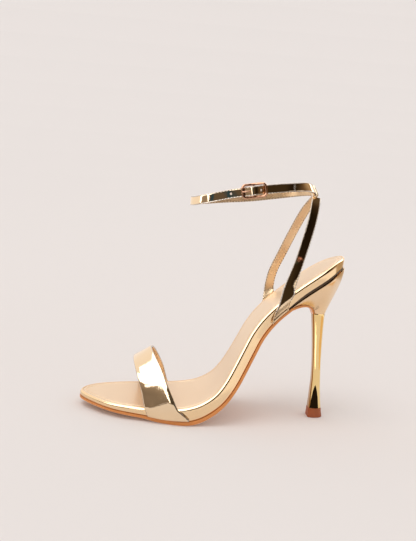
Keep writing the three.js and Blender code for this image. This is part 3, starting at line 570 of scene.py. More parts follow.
# the same section with its two front corners rounded
def roundSection(front, back, halfWide, height, fillet):
    cut, steps = heel["cut"], heel["cornerSteps"]
    centre = math.sqrt((1 - fillet) ** 2 - (cut - fillet) ** 2)
    turn = math.atan2(centre, -(cut - fillet))
    ends = np.linspace(math.pi, turn, steps + 1)[:-1]
    points = [(-(cut - fillet) + fillet * math.cos(a), -centre - fillet * math.sin(a)) for a in ends]
    points += [(math.cos(a), math.sin(a)) for a in np.linspace(-turn, turn, heel["sides"] - 2 * steps)]
    points += [(x, -y) for x, y in points[steps - 1::-1]]
    radius = (back - front) / (1 + cut)
    return np.array([(back - radius + radius * x, halfWide * y, height) for x, y in points])


def heelRibs(levels):
    count = heel["ribs"] * 2 + 1
    foot = section(blockFront, stemBack, heel["stemWidth"] / 2, heel["stemTop"] + gap, count)
    half = sole["seatWidth"] / 2
    ribs = []
    for i, bottom in enumerate(foot):
        sign = -1 if i <= heel["ribs"] else 1
        f = (i if sign < 0 else count - 1 - i) / heel["ribs"]
        along = heel["flapStart"] + (1 - heel["flapStart"]) * math.sin(f * math.pi / 2)
        across = sign * max(halfWidth(along, sign) - heel["blockIn"], 0)
        top = place(along, across, -boardDepth(along) - gap)
        slope = bedAngle(along)
        turn = smooth(f, 0, heel["turnEnd"])
        climb = half * heel["climb"] * (1 - turn)
        lead = np.array([math.cos(slope) * climb, -sign * heel["pinch"] * (1 - turn),
                         math.sin(slope) * climb * heel["climbUp"] - half * heel["drop"] * turn])
        trail = np.array([lerp(heel["frontTrail"], heel["backTrail"], f), sign * heel["trailOut"] * (1 - f),
                          half * heel["trailUp"]])
        a, b, c, d = top, top + lead, bottom + trail, bottom
        t = levels[:, None]
        ribs.append((1 - t) ** 3 * a + 3 * t * (1 - t) ** 2 * b + 3 * t * t * (1 - t) * c + t ** 3 * d)
    return np.array(ribs)


def makeBlock():
    levels = np.concatenate([[0, 0.004, 0.012, 0.025], np.linspace(0.045, 0.985, 40), [0.993, 1.0]])
    ribs = heelRibs(levels)
    loops = [ribs[:, k] for k in range(len(levels))]
    # the top edge and the edge at the stem are drawn in a little, so that both joints show as fine lines
    for k, draw in ((0, 0.25), (1, 0.08), (-1, 0.06)):
        loops[k] = loops[k] + unit(loops[k].mean(0) - loops[k]) * draw
    obj = addObject("heelBlock", *loft(loops), [wrappedFoil])
    settle(clean(obj, 45), "wrapped_gold", "heel_block")


def makeStem():
    long, half = heel["stemLength"], heel["stemWidth"] / 2
    low, high = heel["tip"] / heel["stemTop"], 1 + gap / heel["stemTop"]
    # height share and how far the edge is drawn in
    rows = [(low, 0.25), (low + 0.002, 0.06), (low + 0.006, 0.01)]
    rows += [(s, 0) for s in np.linspace(low + 0.012, 0.99, 70)] + [(high - 0.003, 0.01), (high, 0.05)]
    loops = []
    for along, draw in rows:
        front, back, wide = (through(stemRows, k, min(along, 1)) for k in (1, 2, 3))
        loops.append(roundSection(stemAxis + long * front + draw, stemAxis + long * back - draw,
                                  half * wide - draw, heel["stemTop"] * along, heel["corner"]))
    points, faces = loft(loops)
    # the two front corners take a darker copy of the plated gold, a painted dark reflection along the stem's
    # front edges
    sides, corner = heel["sides"], heel["cornerSteps"]
    indexes = [1 if i % sides < corner or i % sides > sides - corner - 2 else 0
               for i in range(len(faces) - 2)]
    obj = addObject("heelStem", points, faces, [platedGold, platedPaintedReflection], indexes + [0, 0])
    settle(clean(obj, 35), "plated_gold", "heel_stem")


def makeTip():
    long, half = heel["stemLength"], heel["stemWidth"] / 2
    front, back, wide = stemRows[0][1:]
    loops = []
    for up, flare, draw in ((0, 1, 0.3), (0.04, 1, 0), (0.1, 1, 0), (0.3, 0.8, 0), (0.6, 0.45, 0),
                            (0.85, 0.3, 0), (0.96, 0.15, 0), (1, 0.15, 0.3)):
        spread = flare * heel["tipFlare"]
        loops.append(roundSection(stemAxis + long * (front - spread / 3) + draw,
                                  stemAxis + long * (back + spread) - draw, half * (wide + spread) - draw,
                                  heel["tip"] * up, heel["corner"] / 2))
    settle(clean(addObject("heelTip", *loft(loops), [tipBrown]), 35), "brown_tip", "heel_tip")


# outsole: thin edge round the board, then a flap down the front of the heel
outsole = {"proud": 0.15, "taper": 0.985, "stations": 150, "flapSteps": 40}
# half of its section, from the top edge to the middle underneath: share across and share down
soleSection = [(1, 0), (1, 0.35), (1, 0.7), (0.995, 0.88), (outsole["taper"], 1), (0.5, 1), (0, 1)]


# down the outer side, under, up the inner side and back over the top
def soleLoop(outer, inner, at):
    return ([at(outer, share, down) for share, down in soleSection]
            + [at(inner, share, down) for share, down in soleSection[-2::-1]]
            + [at(inner, 0.5, 0), at(inner, 0, 0), at(outer, 0.5, 0)])


def makeOutsole():
    loops = []
    for along in stations(0, heel["flapStart"], outsole["stations"]):
        top, depth = -boardDepth(along) - gap, soleDepth(along)
        wide = [(halfWidth(along, side) + outsole["proud"]) * side if along > 0 else 0 for side in (-1, 1)]
        nose = -outsole["proud"] if along == 0 else 0

        def onEdge(across, share, down):
            p = place(along, across * share, top - depth * down)
            return p[0] + nose, p[1], max(p[2], 0)

        loops.append(soleLoop(*wide, onEdge))
    levels = np.linspace(0.02, 1, outsole["flapSteps"])
    ribs = heelRibs(levels)
    ahead = unit(np.gradient(ribs[0], axis=0))
    for k, t in enumerate(levels):
        out = unit(np.array([ahead[k][2], 0, -ahead[k][0]]))
        depth = lerp(soleDepth(heel["flapStart"]), heel["flap"], smooth(t, 0, 0.5))
        sides = ribs[0][k] + out * gap, ribs[-1][k] + out * gap
        middle = (sides[0] + sides[1]) / 2
        loops.append(soleLoop(
            *sides, lambda side, share, down: lerp(middle, side, share) + out * depth * down))
    points, faces = loft(loops)
    under = range(3, 9)
    indexes = [1 if i % len(loops[0]) in under else 0 for i in range(len(faces) - 2)] + [0, 0]
    obj = addObject("outsoleEdge", points, faces, [soleEdge, soleUnder], indexes)
    settle(clean(obj, 50), "tan_edge", "outsole")


makeFootbed()
makeSock()
makeBlock()
makeStem()
makeTip()
makeOutsole()
print("sole and heel done")


# straps

strap = {
    "toeWidth": 28, "toeRise": 43.1, "toeWall": 1.8,
    "backWidth": 7, "backWall": 1.5, "tuck": 7,
    "ankleWidth": 6.6, "ankleWall": 1.3, "ankleLength": 90.9, "ankleSpread": 36,
    "ankleFront": 76.5, "ankleHeight": 160.6, "ankleClimb": 17, "tail": 30,
    "keeperWidth": 5, "keeperWall": 0.9, "keeperSquare": 5,
    "toeEdge": 0.955, "backEdge": 0.79, "ankleEdge": 0.81,
    "panelStart": 16, "panelRound": 0.35, "tipSeam": 1.5, "anklePanelStart": -9, "anklePanelRound": 0.4,
    "toeSteps": 220, "backSteps": 420, "ankleSteps": 620, "legRows": 90, "tailRows": 70,
    "ankleSamples": 2400,
    "leanBack": 28, "leanFrom": 0.86, "split": -34, "weaveFrom": -22,
    "holes": (-16.6, -6.1, 4.4), "hole": 0.85, "holeRim": 1.2, "holeSides": 20,
}
# for each side, place and width share where a strap crosses the board's top, then its bottom
toeEnds = {-1: ((0.257, 0.87), (0.275, 1.02)), 1: ((0.225, 0.83), (0.235, 0.97))}
backEnds = {-1: ((0.777, 2.16), (0.725, 2.47)), 1: ((0.74, 1.8), (0.69, 2.1))}
# x, across, up, width share, lean in degrees, skew
toeRows = [
    (0.31, -0.935, 0.445, 0.8, 3, -0.13), (0.292, -0.86, 0.636, 0.71, 10, -0.09),
    (0.273, -0.725, 0.806, 0.66, 15, -0.05), (0.253, -0.465, 0.945, 0.6, 26, 0),
    (0.24, -0.07, 1.0, 0.575, 35, 0), (0.244, 0.3, 0.956, 0.6, 28, 0),
    (0.255, 0.63, 0.786, 0.67, 14, 0.02), (0.27, 0.86, 0.549, 0.77, 5, 0.06),
]
# x, up, across, width share, lean in degrees
backRows = {
    -1: [(0.05, 0.08, 1.012, 1.25, -14), (0.35, 0.345, 0.9, 1.0, -20), (0.6, 0.56, 0.7, 1.0, -20),
         (0.8, 0.75, 0.5, 1.0, -18), (0.93, 0.9, 0.27, 1.0, -14)],
    1: [(0.02, 0.1, 1.07, 1.05, -6), (0.09, 0.25, 1.0, 1.0, -12), (0.28, 0.424, 0.87, 1.0, -21),
        (0.58, 0.695, 0.6, 1.0, -22), (0.8, 0.88, 0.3, 1.0, -18)],
}
# x, across, up, and how much lower the inner half runs
ankleRows = [
    (0.03, 0.5, 0.02, 0.0), (0.1, 0.82, 0.13, 0.06), (0.3, 0.95, 0.42, 0.21), (0.48, 1.0, 0.62, 0.3),
    (0.68, 0.98, 0.8, 0.3), (0.81, 0.9, 0.89, 0.26), (0.9, 0.74, 0.94, 0.22), (0.965, 0.46, 0.88, 0.12),
]


def onBoard(at, wide, width, side, out, depth):
    row = []
    for share in (-0.5, 0, 0.5):
        along = at + share * wide * width / bedLength
        row.append(place(along, side * (halfWidth(along, side) + out), -depth(along)))
    return row


def strapFoot(ends, width, wall, side):
    (topAt, topWide), (footAt, footWide) = ends[side]
    beside = gap + wall / 2

    def under(out):
        return onBoard(footAt, footWide, width, side, out, lambda s: boardDepth(s) - wall / 2 - gap / 3)

    rows = [under(-strap["tuck"]), under(-strap["tuck"] / 2), under(-wall * 0.6), under(beside - gap / 2)]
    for way, share in ((0.15, 0.7), (0.5, 0.4), (0.95, 0.05)):
        rows.append(onBoard(lerp(footAt, topAt, way), lerp(footWide, topWide, way), width, side, beside,
                            lambda s, share=share: boardDepth(s) * share))
    return rows


def span(x, y, z, wide, lean, skew=0.0):
    lean = math.radians(lean)
    across = np.array([wide * math.cos(lean), skew, wide * math.sin(lean)])
    return [np.array([x, y, z]) + across * share for share in (-0.5, 0, 0.5)]


# section of a strap: share across from -1 to 1, and how far the skin stands over the middle, in walls
flatSection = [(-0.999, 0.0), (-0.985, 0.3), (-0.95, 0.46), (-0.9, 0.5), (-0.6, 0.5), (-0.3, 0.5), (0, 0.5)]
beadSection = [(-0.999, 0.0), (-0.988, 0.28), (-0.96, 0.45), (-0.925, 0.5), (-0.88, 0.47), (-0.85, 0.4),
               (-0.825, 0.375), (-0.8, 0.4), (-0.77, 0.415), (-0.65, 0.42), (-0.5, 0.424), (-0.35, 0.427),
               (-0.22, 0.43), (-0.11, 0.43), (0, 0.43)]


# the middle of a strap's wall at shares across it: points, and the directions forward and outward
def strapSheet(lines, shares):
    a, control, c = (line[:, None] for line in lines)
    t = np.asarray(shares)[None, :, None]
    grid = a * (1 - t) ** 2 + 2 * control * t * (1 - t) + c * t * t
    across = unit(-2 * a * (1 - t) + 2 * control * (1 - 2 * t) + 2 * c * t)
    forward = unit(np.gradient(grid, axis=0))
    return grid, forward, unit(np.cross(forward, across))


def distances(line):
    return np.concatenate([[0], np.cumsum(np.linalg.norm(np.diff(line, axis=0), axis=1))])


# a strap over rows of three points. The skin has an outer face, two turned edges and a lined inner face. A
# panel is the mirror part of the outer face between two distances, with round ends, and beyond it the face
# has the last material. A negative end is measured from the strap's end
def makeStrap(name, rows, steps, wall, outerSection, edgeShare, materials, *nodes, panel=None):
    rows = np.asarray(rows, float)
    a, b, c = (spline(rows[:, k], steps) for k in range(3))
    lines = a, 2 * b - a / 2 - c / 2, c
    over = outerSection + [(-u, h) for u, h in outerSection[-2::-1]]
    under = [(u, -min(h, 0.5)) for u, h in flatSection[1:]]
    under = (under + [(-u, h) for u, h in under[-2::-1]])[::-1]
    u, height = np.array(over + under).T
    t = (u + 1) / 2
    grid, forward, normal = strapSheet(lines, t)
    points = grid + normal * (height * wall)[None, :, None]
    rowCount, width = points.shape[:2]
    distance = distances(b)
    uv = np.stack([np.repeat(distance / 1000, width), np.tile(t, rowCount)], 1)
    middles = np.abs(u + np.roll(u, -1)) / 2
    kinds = [1 if middles[i] > edgeShare else 0 if i < len(over) - 1 else 2 for i in range(width)]
    indexes = kinds * (rowCount - 1)
    if panel:
        low, high, halfPanel = panel
        if high < 0:
            high += distance[-1]
        for k in range(rowCount - 1):
            at = (distance[k] + distance[k + 1]) / 2
            beyond = max(low + halfPanel - at, at - high + halfPanel, 0) / halfPanel
            reach = edgeShare * math.sqrt(max(1 - beyond ** 2, 0))
            for i in range(width):
                if indexes[k * width + i] == 0 and middles[i] > reach:
                    indexes[k * width + i] = 1 if reach > 0 and middles[i] < reach + 0.1 else 3
                if beyond >= 1 and i < len(over) - 1:
                    indexes[k * width + i] = 3
    obj = addObject(name, *loft(points), materials, indexes + [1, 1], uv)
    settle(clean(obj, 60), "mirror_gold", *nodes)
    return lines


# one stitch is a small grain that dips in at both ends. Runs are shares of a strap's length, and sunk is how
# deep the outer stitches sit in the seam
stitch = {
    "pitch": 2.2, "length": 1.25, "radius": 0.3, "inset": 0.55, "dip": 0.06, "flat": 0.8,
    "backRuns": [(0.12, 0.985)], "backLined": (0.16, 0.985), "backSunk": 0.14,
    "ankleRuns": [(0, 0.1), (0.6, 0.995)], "ankleLined": (0, 0.74), "ankleSunk": 0.12,
}


def stitches(lines, share, wall, face, start, end, sunk=0):
    path, forward, normal = (v[:, 0] for v in strapSheet(lines, [share]))
    normal = normal * face
    path = path + normal * (wall / 2 - sunk)
    distance = distances(path)
    low, high = (np.interp(s, np.linspace(0, 1, len(path)), distance) for s in (start, end))
    parts = []
    for at in np.arange(low + stitch["pitch"], high - stitch["pitch"], stitch["pitch"]):
        p, f, n = (np.array([np.interp(at, distance, v[:, k]) for k in range(3)])
                   for v in (path, forward, normal))
        parts.append(grain(p, unit(f), unit(n)))
    return parts


def grain(p, f, n):
    side = np.cross(f, n)
    reach, dip = f * stitch["length"] / 2, n * stitch["dip"]
    points = [p - reach - dip]
    for s, r in ((-0.3, 0.85), (0, 1.0), (0.3, 0.85)):
        for angle in np.arange(6) * math.pi / 3:
            around = n * math.sin(angle) * stitch["flat"] + side * math.cos(angle)
            points.append(p + f * s * stitch["length"] + around * r * stitch["radius"])
    points.append(p + reach - dip)
    faces = [(0, 1 + (k + 1) % 6, 1 + k) for k in range(6)]
    faces += skin(3, 6, first=1)
    faces += [(19, 13 + k, 13 + (k + 1) % 6) for k in range(6)]
    return np.array(points), faces


def toeStrapRows():
    half = sole["ballWidth"] / 2
    over = [span(x * sole["length"], y * half, z * strap["toeRise"], wide * strap["toeWidth"], lean,
                 skew * half) for x, y, z, wide, lean, skew in toeRows]
    outer, inner = (strapFoot(toeEnds, strap["toeWidth"], strap["toeWall"], side) for side in (-1, 1))
    return [row[::-1] for row in outer + over + inner[::-1]]


strapMaterials = [mirrorFoil, turnedEdge, lining]
makeStrap("toeStrap", toeStrapRows(), strap["toeSteps"], strap["toeWall"], flatSection, strap["toeEdge"],
          strapMaterials, "toe_strap")


# the ankle strap's line, starting at the buckle and running to the back first
def ankleSamples():
    def point(x, out, up):
        return (strap["ankleFront"] + x * strap["ankleLength"], out * strap["ankleSpread"] / 2,
                strap["ankleHeight"] + up * strap["ankleClimb"])

    outer = [point(x, -out, up) for x, out, up, drop in ankleRows]
    inner = [point(x, out, up - drop) for x, out, up, drop in ankleRows]
    around = outer[3:] + [point(1, 0, 0.75)] + inner[::-1] + [point(0, 0, 0)] + outer[:3]
    return spline(around, strap["ankleSamples"], loop=True)


ankleLine = ankleSamples()
ankleLine = np.concatenate([ankleLine, ankleLine[:1]])
ankleSteps = distances(ankleLine)
ankleTotal = ankleSteps[-1]
ankleCentre = np.array([strap["ankleFront"] + strap["ankleLength"] / 2, 0, strap["ankleHeight"]])


# origin, along, outward and up on the ankle strap
def ankleFrame(distance):
    d = distance % ankleTotal
    step = 0.15

    def at(s):
        return np.array([np.interp(s % ankleTotal, ankleSteps, ankleLine[:, k]) for k in range(3)])

    p = at(d)
    along = unit(at(d + step) - at(d - step))
    share = (p[0] - strap["ankleFront"]) / strap["ankleLength"]
    lean = -math.radians(strap["leanBack"]) * smooth(share, strap["leanFrom"], 1)
    out = unit(np.cross(along, (0, 0, 1)))
    if np.dot(out, ankleCentre - p) > 0:
        out = -out
    up = unit(np.cross(out, along))
    if up[2] < 0:
        up = -up
    return p, along, out * math.cos(lean) - up * math.sin(lean), up * math.cos(lean) + out * math.sin(lean)


def inFrame(base, along, out, up):
    return base[0] + base[1] * along + base[2] * out + base[3] * up


buckle = {
    "length": 19, "height": 11.2, "corner": 2.6, "wire": 1.9, "bar": 1.4, "prong": 1.1, "eye": 1.0,
    "spacing": 0.5,
}
buckleBase = ankleFrame(0)
eyeRadius = buckle["bar"] / 2 + gap + buckle["eye"]
endBar = buckle["length"] / 2 - buckle["wire"] / 2
endBarHeight = 2 * (strap["ankleWall"] + gap) + buckle["wire"] / 2
# the bar stands at the height of the eye; the tail runs over the leg part, the end bar and the bar
onLeg = strap["ankleWall"] / 2
onStrap = strap["ankleWall"] * 1.5 + gap
onBar = 2 * eyeRadius + gap + strap["ankleWall"] / 2
weaveRows = [
    (strap["split"], onLeg), (strap["weaveFrom"], onLeg), (-endBar, onStrap), (-buckle["bar"], onBar),
    (buckle["bar"], onBar), (endBar, onStrap), (strap["tail"], onStrap),
]


def ankleStrapRows():
    places = [(s, onLeg)
              for s in np.linspace(gap, ankleTotal + strap["split"], strap["legRows"], endpoint=False)]
    places += [(s, through(weaveRows, 1, s))
               for s in np.linspace(strap["split"], strap["tail"], strap["tailRows"])]
    return [[inFrame(ankleFrame(s), 0, out, share * strap["ankleWidth"]) for share in (-0.5, 0, 0.5)]
            for s, out in places]


ankleLines = makeStrap("ankleStrap", ankleStrapRows(), strap["ankleSteps"], strap["ankleWall"], beadSection,
                       strap["ankleEdge"], strapMaterials + [turnedEdge], "ankle_strap",
                       panel=(strap["anklePanelStart"], -strap["tipSeam"], strap["anklePanelRound"]))


def keeperPlace():
    places = np.linspace(0, ankleTotal, 400, endpoint=False)
    return max(places, key=lambda s: ankleFrame(s)[0][0])


keeperAt = keeperPlace()
keeperBase = ankleFrame(keeperAt)
keeperFoot = inFrame(keeperBase, 0, onLeg, -strap["ankleWidth"] / 2 - gap - strap["keeperWall"] / 2)


def backStrapRows(side):
    foot = strapFoot(backEnds, strap["backWidth"], strap["backWall"], side)
    start = bed(backEnds[side][0][0])
    free = [span(lerp(start[0], keeperFoot[0], x), side * out * sole["seatWidth"] / 2,
                 lerp(start[1], keeperFoot[2], up), wide * strap["backWidth"], lean)
            for x, up, out, wide, lean in backRows[side]]
    top = span(keeperFoot[0], side * strap["keeperWidth"] * 0.3, keeperFoot[2] - 2 * gap,
               strap["backWidth"], -12)
    return foot + free + [top]


# the outer strap stands for the whole CAD piece
def makeBackStraps():
    lines = []
    for side, name, nodes in ((-1, "backStrapOuter", ["back_strap"]), (1, "backStrapInner", [])):
        rows = [row[::side] for row in backStrapRows(side)]
        lines.append(makeStrap(
            name, rows, strap["backSteps"], strap["backWall"], beadSection, strap["backEdge"],
            strapMaterials + [wrappedFoil], *nodes,
            panel=(strap["panelStart"], math.inf, strap["backWidth"] * strap["panelRound"])))
    return lines


backLines = makeBackStraps()


# the loop that holds the ankle strap at the back, with rounded corners
def makeKeeper():
    halfOut, halfUp = strap["ankleWall"] / 2 + gap, strap["ankleWidth"] / 2 + gap
    wall, half, power = strap["keeperWall"], strap["keeperWidth"] / 2, strap["keeperSquare"]
    ring = []
    for angle in np.linspace(0, 2 * math.pi, 48, endpoint=False):
        x, y = math.cos(angle), math.sin(angle)
        r = (abs(x) ** power + abs(y) ** power) ** (-1 / power)
        ring.append((x * r, y * r))
    rows = []
    # over the outside from end to end, then back through the inside
    for share, grow in ((-1, 0), (-1, 0.5), (-0.97, 0.85), (-0.9, 1), (-0.6, 1), (-0.3, 1), (0, 1), (0.3, 1),
                        (0.6, 1), (0.9, 1), (0.97, 0.85), (1, 0.5), (1, 0), (0.6, 0), (0.2, 0), (-0.2, 0),
                        (-0.6, 0)):
        base = ankleFrame(keeperAt + share * half)
        rows.append([inFrame(base, 0, onLeg + x * (halfOut + wall * grow), y * (halfUp + wall * grow))
                     for x, y in ring])
    obj = addObject("keeperLoop", np.concatenate(rows), skin(len(rows), len(ring), closed=True), [mirrorFoil])
    settle(clean(obj, 50), "mirror_gold")


makeKeeper()


def makeStitches():
    pale, brown = [], []
    for lines, kind in ((backLines[0], "back"), (backLines[1], "back"), (ankleLines, "ankle")):
        inset, wall = stitch["inset"] / strap[kind + "Width"], strap[kind + "Wall"]
        for share in (inset, 1 - inset):
            for start, end in stitch[kind + "Runs"]:
                pale += stitches(lines, share, wall, 1, start, end, stitch[kind + "Sunk"])
            brown += stitches(lines, share, wall, -1, *stitch[kind + "Lined"])
    for name, parts, material in (("stitchesOuter", pale, greyThread),
                                  ("stitchesLining", brown, brownThread)):
        settle(addObject(name, *joined(parts), [material]), "mirror_gold")


makeStitches()


# punched holes in the ankle strap, each a pale spot in a dark rim
def makeHoles():
    rims, spots = [], []
    turns = np.linspace(0, 2 * math.pi, strap["holeSides"], endpoint=False)
    for beyond in strap["holes"]:
        base = ankleFrame(beyond)
        # the middle of the strap's bead section
        out = through(weaveRows, 1, beyond) + beadSection[-1][1] * strap["ankleWall"]
        for radius, lift, parts in ((strap["holeRim"], 0.03, rims), (strap["hole"], 0.06, spots)):
            parts.append(loft([[inFrame(base, radius * math.cos(a), out + height, radius * math.sin(a))
                                for a in turns] for height in (-0.2, lift)]))
    for name, parts, material in (("holeRims", rims, seamShade), ("holeSpots", spots, holeShade)):
        settle(clean(addObject(name, *joined(parts), [material])), "mirror_gold")


makeHoles()
print("straps done")


# buckle: a rounded rectangle of wire with a bar, and a prong on the bar
def buckleRim(long, high):
    corner = buckle["corner"]
    points = []
    for x, y, start in ((1, 1, 0), (-1, 1, 90), (-1, -1, 180), (1, -1, 270)):
        for angle in np.radians(start + np.linspace(0, 90, 13)):
            points.append((x * (long - corner) + corner * math.cos(angle),
                           y * (high - corner) + corner * math.sin(angle)))
    dense = []
    for i, (x, y) in enumerate(points):
        nx, ny = points[(i + 1) % len(points)]
        count = max(int(math.hypot(nx - x, ny - y) / buckle["spacing"]), 1)
        dense += [(lerp(x, nx, k / count), lerp(y, ny, k / count)) for k in range(count)]
    return [inFrame(buckleBase, x, lerp(eyeRadius, endBarHeight, smooth(abs(x) / long, 0.1, 0.95)), y)
            for x, y in dense]


def makeBuckle():
    high = (buckle["height"] - buckle["wire"]) / 2
    rim = tube(buckleRim(endBar, high), buckle["wire"] / 2, 18, loop=True, side=buckleBase[2])
    bar = tube([inFrame(buckleBase, 0, eyeRadius, y) for y in np.linspace(-high, high, 12)],
               buckle["bar"] / 2, 16, side=buckleBase[1])
    settle(addObject("buckleFrame", *joined([rim, bar]), [roseGold]), "rose_gold", "buckle_frame")

    # the prong's eye goes round the bar, and the prong rests on the end bar
    wire = buckle["prong"]
    eye = (buckle["bar"] / 2 + gap + eyeRadius) / 2
    ring = [inFrame(buckleBase, eye * math.cos(a), eyeRadius + eye * math.sin(a), 0)
            for a in np.linspace(0, 2 * math.pi, 36, endpoint=False)]
    rest = endBarHeight + (buckle["wire"] + wire) / 2 + gap
    bend = [(-eye * 0.8, eyeRadius + eye * 0.6), (-eye - wire, eyeRadius + 2.4 * wire),
            (-eye - 3 * wire, rest), (-endBar - buckle["wire"] / 3, rest)]
    path = spline([inFrame(buckleBase, x, y, 0) for x, y in bend], 40)
    radii = np.full(len(path), wire / 2)
    radii[-3:] *= (0.95, 0.8, 0.5)
    parts = [tube(ring, wire / 2, 12, loop=True, side=buckleBase[3]), tube(path, radii, side=buckleBase[3])]
    settle(addObject("bucklePin", *joined(parts), [roseGold]), "rose_gold", "buckle_prong")


makeBuckle()
print("buckle done")


# stage: a floor that sweeps up behind, a dome that only reflections see, lights and camera

stage = {
    "tone": (0.815, 0.763, 0.735), "near": -2.6, "far": 1.6, "bend": 1.4, "bendSteps": 24, "high": 4.2,
    "half": 4.0,
}
sun = {"towards": (-0.30, -0.26, 1.0), "strength": 0.72, "spread": 40, "tone": (1.035, 1.0, 0.965)}
sky = {"tone": (0.985, 1.0, 1.015), "strength": 0.80}


# a piece of the stage, seen by all or by reflections alone
def addStage(name, points, faces, material, seen=False):
    mesh = bpy.data.meshes.new(name)
    mesh.from_pydata(points, [], faces)
    mesh.materials.append(material)
    obj = bpy.data.objects.new(name, mesh)
    bpy.context.scene.collection.objects.link(obj)
    obj.visible_camera = obj.visible_diffuse = obj.visible_shadow = seen
    return mesh


# glows in one tone, or in the tones of the mesh
def makeGlow(name, tone=None):
    material = bpy.data.materials.new(name)
    material.use_nodes = True
    tree = material.node_tree
    tree.nodes.remove(tree.nodes["Principled BSDF"])
    if tone is None:
        color = addNode(tree, "ShaderNodeAttribute", attribute_name="tone").outputs["Color"]
    else:
        color = (*tone, 1)
    glow = addNode(tree, "ShaderNodeEmission", {"Color": color, "Strength": 1.0})
    tree.links.new(glow.outputs["Emission"], tree.nodes["Material Output"].inputs["Surface"])
    return material


def makeFloor():
    start, bend = stage["far"] - stage["bend"], stage["bend"]
    profile = [(stage["near"], 0.0), (start, 0.0)]
    for angle in np.linspace(0, math.pi / 2, stage["bendSteps"] + 1)[1:]:
        profile.append((start + bend * math.sin(angle), bend * (1 - math.cos(angle))))
    profile.append((stage["far"], stage["high"]))
    points = [(x, y, z) for y, z in profile for x in (-stage["half"], stage["half"])]
    faces = [(2 * k, 2 * k + 1, 2 * k + 3, 2 * k + 2) for k in range(len(profile) - 1)]
    material = makeMaterial(
        "floorPaper", stage["tone"], tuple(c * 0.99 for c in stage["tone"]), 3, (0.7, 0.8),
        Specular_IOR_Level=0.0, Emission_Color=(*stage["tone"], 1))
    # where the paper turns away from the light it glows by as much as it loses, so that it stays even
    tree = material.node_tree
    facing = addNode(tree, "ShaderNodeVectorMath", operation="DOT_PRODUCT")
    tree.links.new(addNode(tree, "ShaderNodeNewGeometry").outputs["True Normal"], facing.inputs[0])
    facing.inputs[1].default_value = unit(sun["towards"])
    level = unit(sun["towards"])[2]
    lost = addNode(tree, "ShaderNodeMapRange", {
        "Value": facing.outputs["Value"], "From Min": 0.0, "From Max": level,
        "To Min": sun["strength"] * level / math.pi, "To Max": 0.0})
    tree.links.new(lost.outputs["Result"], tree.nodes["Principled BSDF"].inputs["Emission Strength"])
    mesh = addStage("floorSweep", points, faces, material, seen=True)
    mesh.polygons.foreach_set("use_smooth", [True] * len(mesh.polygons))


# what the mirror leather reflects: a plain room in a few given tones. Each row has the turn in degrees
# from the camera's side towards the heel, the tone, and bottom and top of the dark part in degrees. A white
# screen hangs over it, and the floor round the shoe is pale
roomTones = {
    "cream": (0.80, 0.74, 0.70), "sand": (0.48, 0.35, 0.22), "taupe": (0.37, 0.30, 0.24),
    "teal": (0.03, 0.07, 0.10), "olive": (0.13, 0.10, 0.07), "brown": (0.14, 0.085, 0.045),
    "dark": (0.045, 0.03, 0.015), "black": (0.02, 0.012, 0.006),
}
roomRows = [
    (-130, "cream", 0, 2), (-95, "cream", 0, 6), (-80, "sand", 0, 12), (-62, "taupe", 0, 20),
    (-48, "taupe", 0, 26), (-33, "taupe", 0, 25), (-31.8, "taupe", 0, 14), (-30.5, "taupe", 0, 24),
    (-27.5, "taupe", 0, 14), (-25.6, "taupe", 0, 5), (-23.2, "taupe", 0, 1), (-22.4, "olive", 0, 21),
    (-18, "olive", 0, 23), (-14, "teal", 0, 30), (-10.5, "teal", 0, 34), (-8.5, "olive", 0, 38),
    (1, "olive", 1, 50), (8, "dark", 2, 56), (21, "dark", 2, 68), (27, "black", 15, 72),
    (36, "black", 15, 76), (44, "dark", 15, 76), (57, "brown", 15, 76), (85, "sand", 14, 64),
    (100, "sand", 3, 40), (125, "sand", 0, 16), (150, "cream", 0, 3),
]
# small coloured things far off: turn, rise, half width, half height, tone
roomSpots = [
    (28.4, 32.4, 1.3, 1.3, (0.62, 0.28, 0.20)), (25.8, 30.2, 0.5, 1.2, (0.50, 0.26, 0.20)),
    (24.2, 28.4, 1.1, 1.4, (0.05, 0.07, 0.05)),
]
# fade is how far the left part darkens to the floor, shade how far the right part does between two rises
room = {
    "radius": 0.5, "step": 0.75, "behind": 150, "zenith": 80, "screen": 3.0, "left": -0.65, "back": 0.7,
    "lowScreen": 52, "lowFrom": -75, "pale": (1.05, 0.99, 0.95), "fade": 0.6, "fadeTo": -15,
    "shade": 0.35, "shadeFrom": 32, "shadeTo": 52,
}


# unit direction of a turn and a rise, both in degrees
def towards(turn, rise):
    a, e = math.radians(turn), math.radians(rise)
    return np.array([math.sin(a) * math.cos(e), -math.cos(a) * math.cos(e), math.sin(e)])


def roomTone(turn, rise):
    turns = [row[0] for row in roomRows]
    bottom, top = (np.interp(turn, turns, [row[k] for row in roomRows]) for k in (2, 3))
    for at, up, wide, high, spot in roomSpots:
        if math.hypot((turn - at) / wide, (rise - up) / high) < 1:
            return spot
    front = abs(turn) < room["behind"]
    if front and rise < bottom:
        return room["pale"]
    if front and rise < top:
        columns = zip(*(roomTones[row[1]] for row in roomRows))
        tone = np.array([np.interp(turn, turns, column) for column in columns])
        if turn < room["fadeTo"]:
            return tone * lerp(room["fade"], 1, smooth(rise, 0, top))
        return tone * lerp(1, room["shade"], smooth(rise, room["shadeFrom"], room["shadeTo"]))
    x, y, z = towards(turn, max(rise, 0.1))
    low = rise < room["lowScreen"] and turn > room["lowFrom"]
    if (x / z > room["left"] or low) and y / z < room["back"] and front or rise > room["zenith"]:
        return (room["screen"],) * 3
    return room["pale"]


def makeRoom():
    turns, rises = np.arange(-180, 180, room["step"]), np.arange(0, 90.1, room["step"])
    points = [room["radius"] * towards(turn, rise) for rise in rises for turn in turns]
    tones = [(*roomTone(turn, rise), 1) for rise in rises for turn in turns]
    mesh = addStage("roomDome", points, skin(len(rises), len(turns)), makeGlow("roomDome"))
    mesh.attributes.new("tone", "FLOAT_COLOR", "POINT").data.foreach_set("color", np.array(tones).ravel())


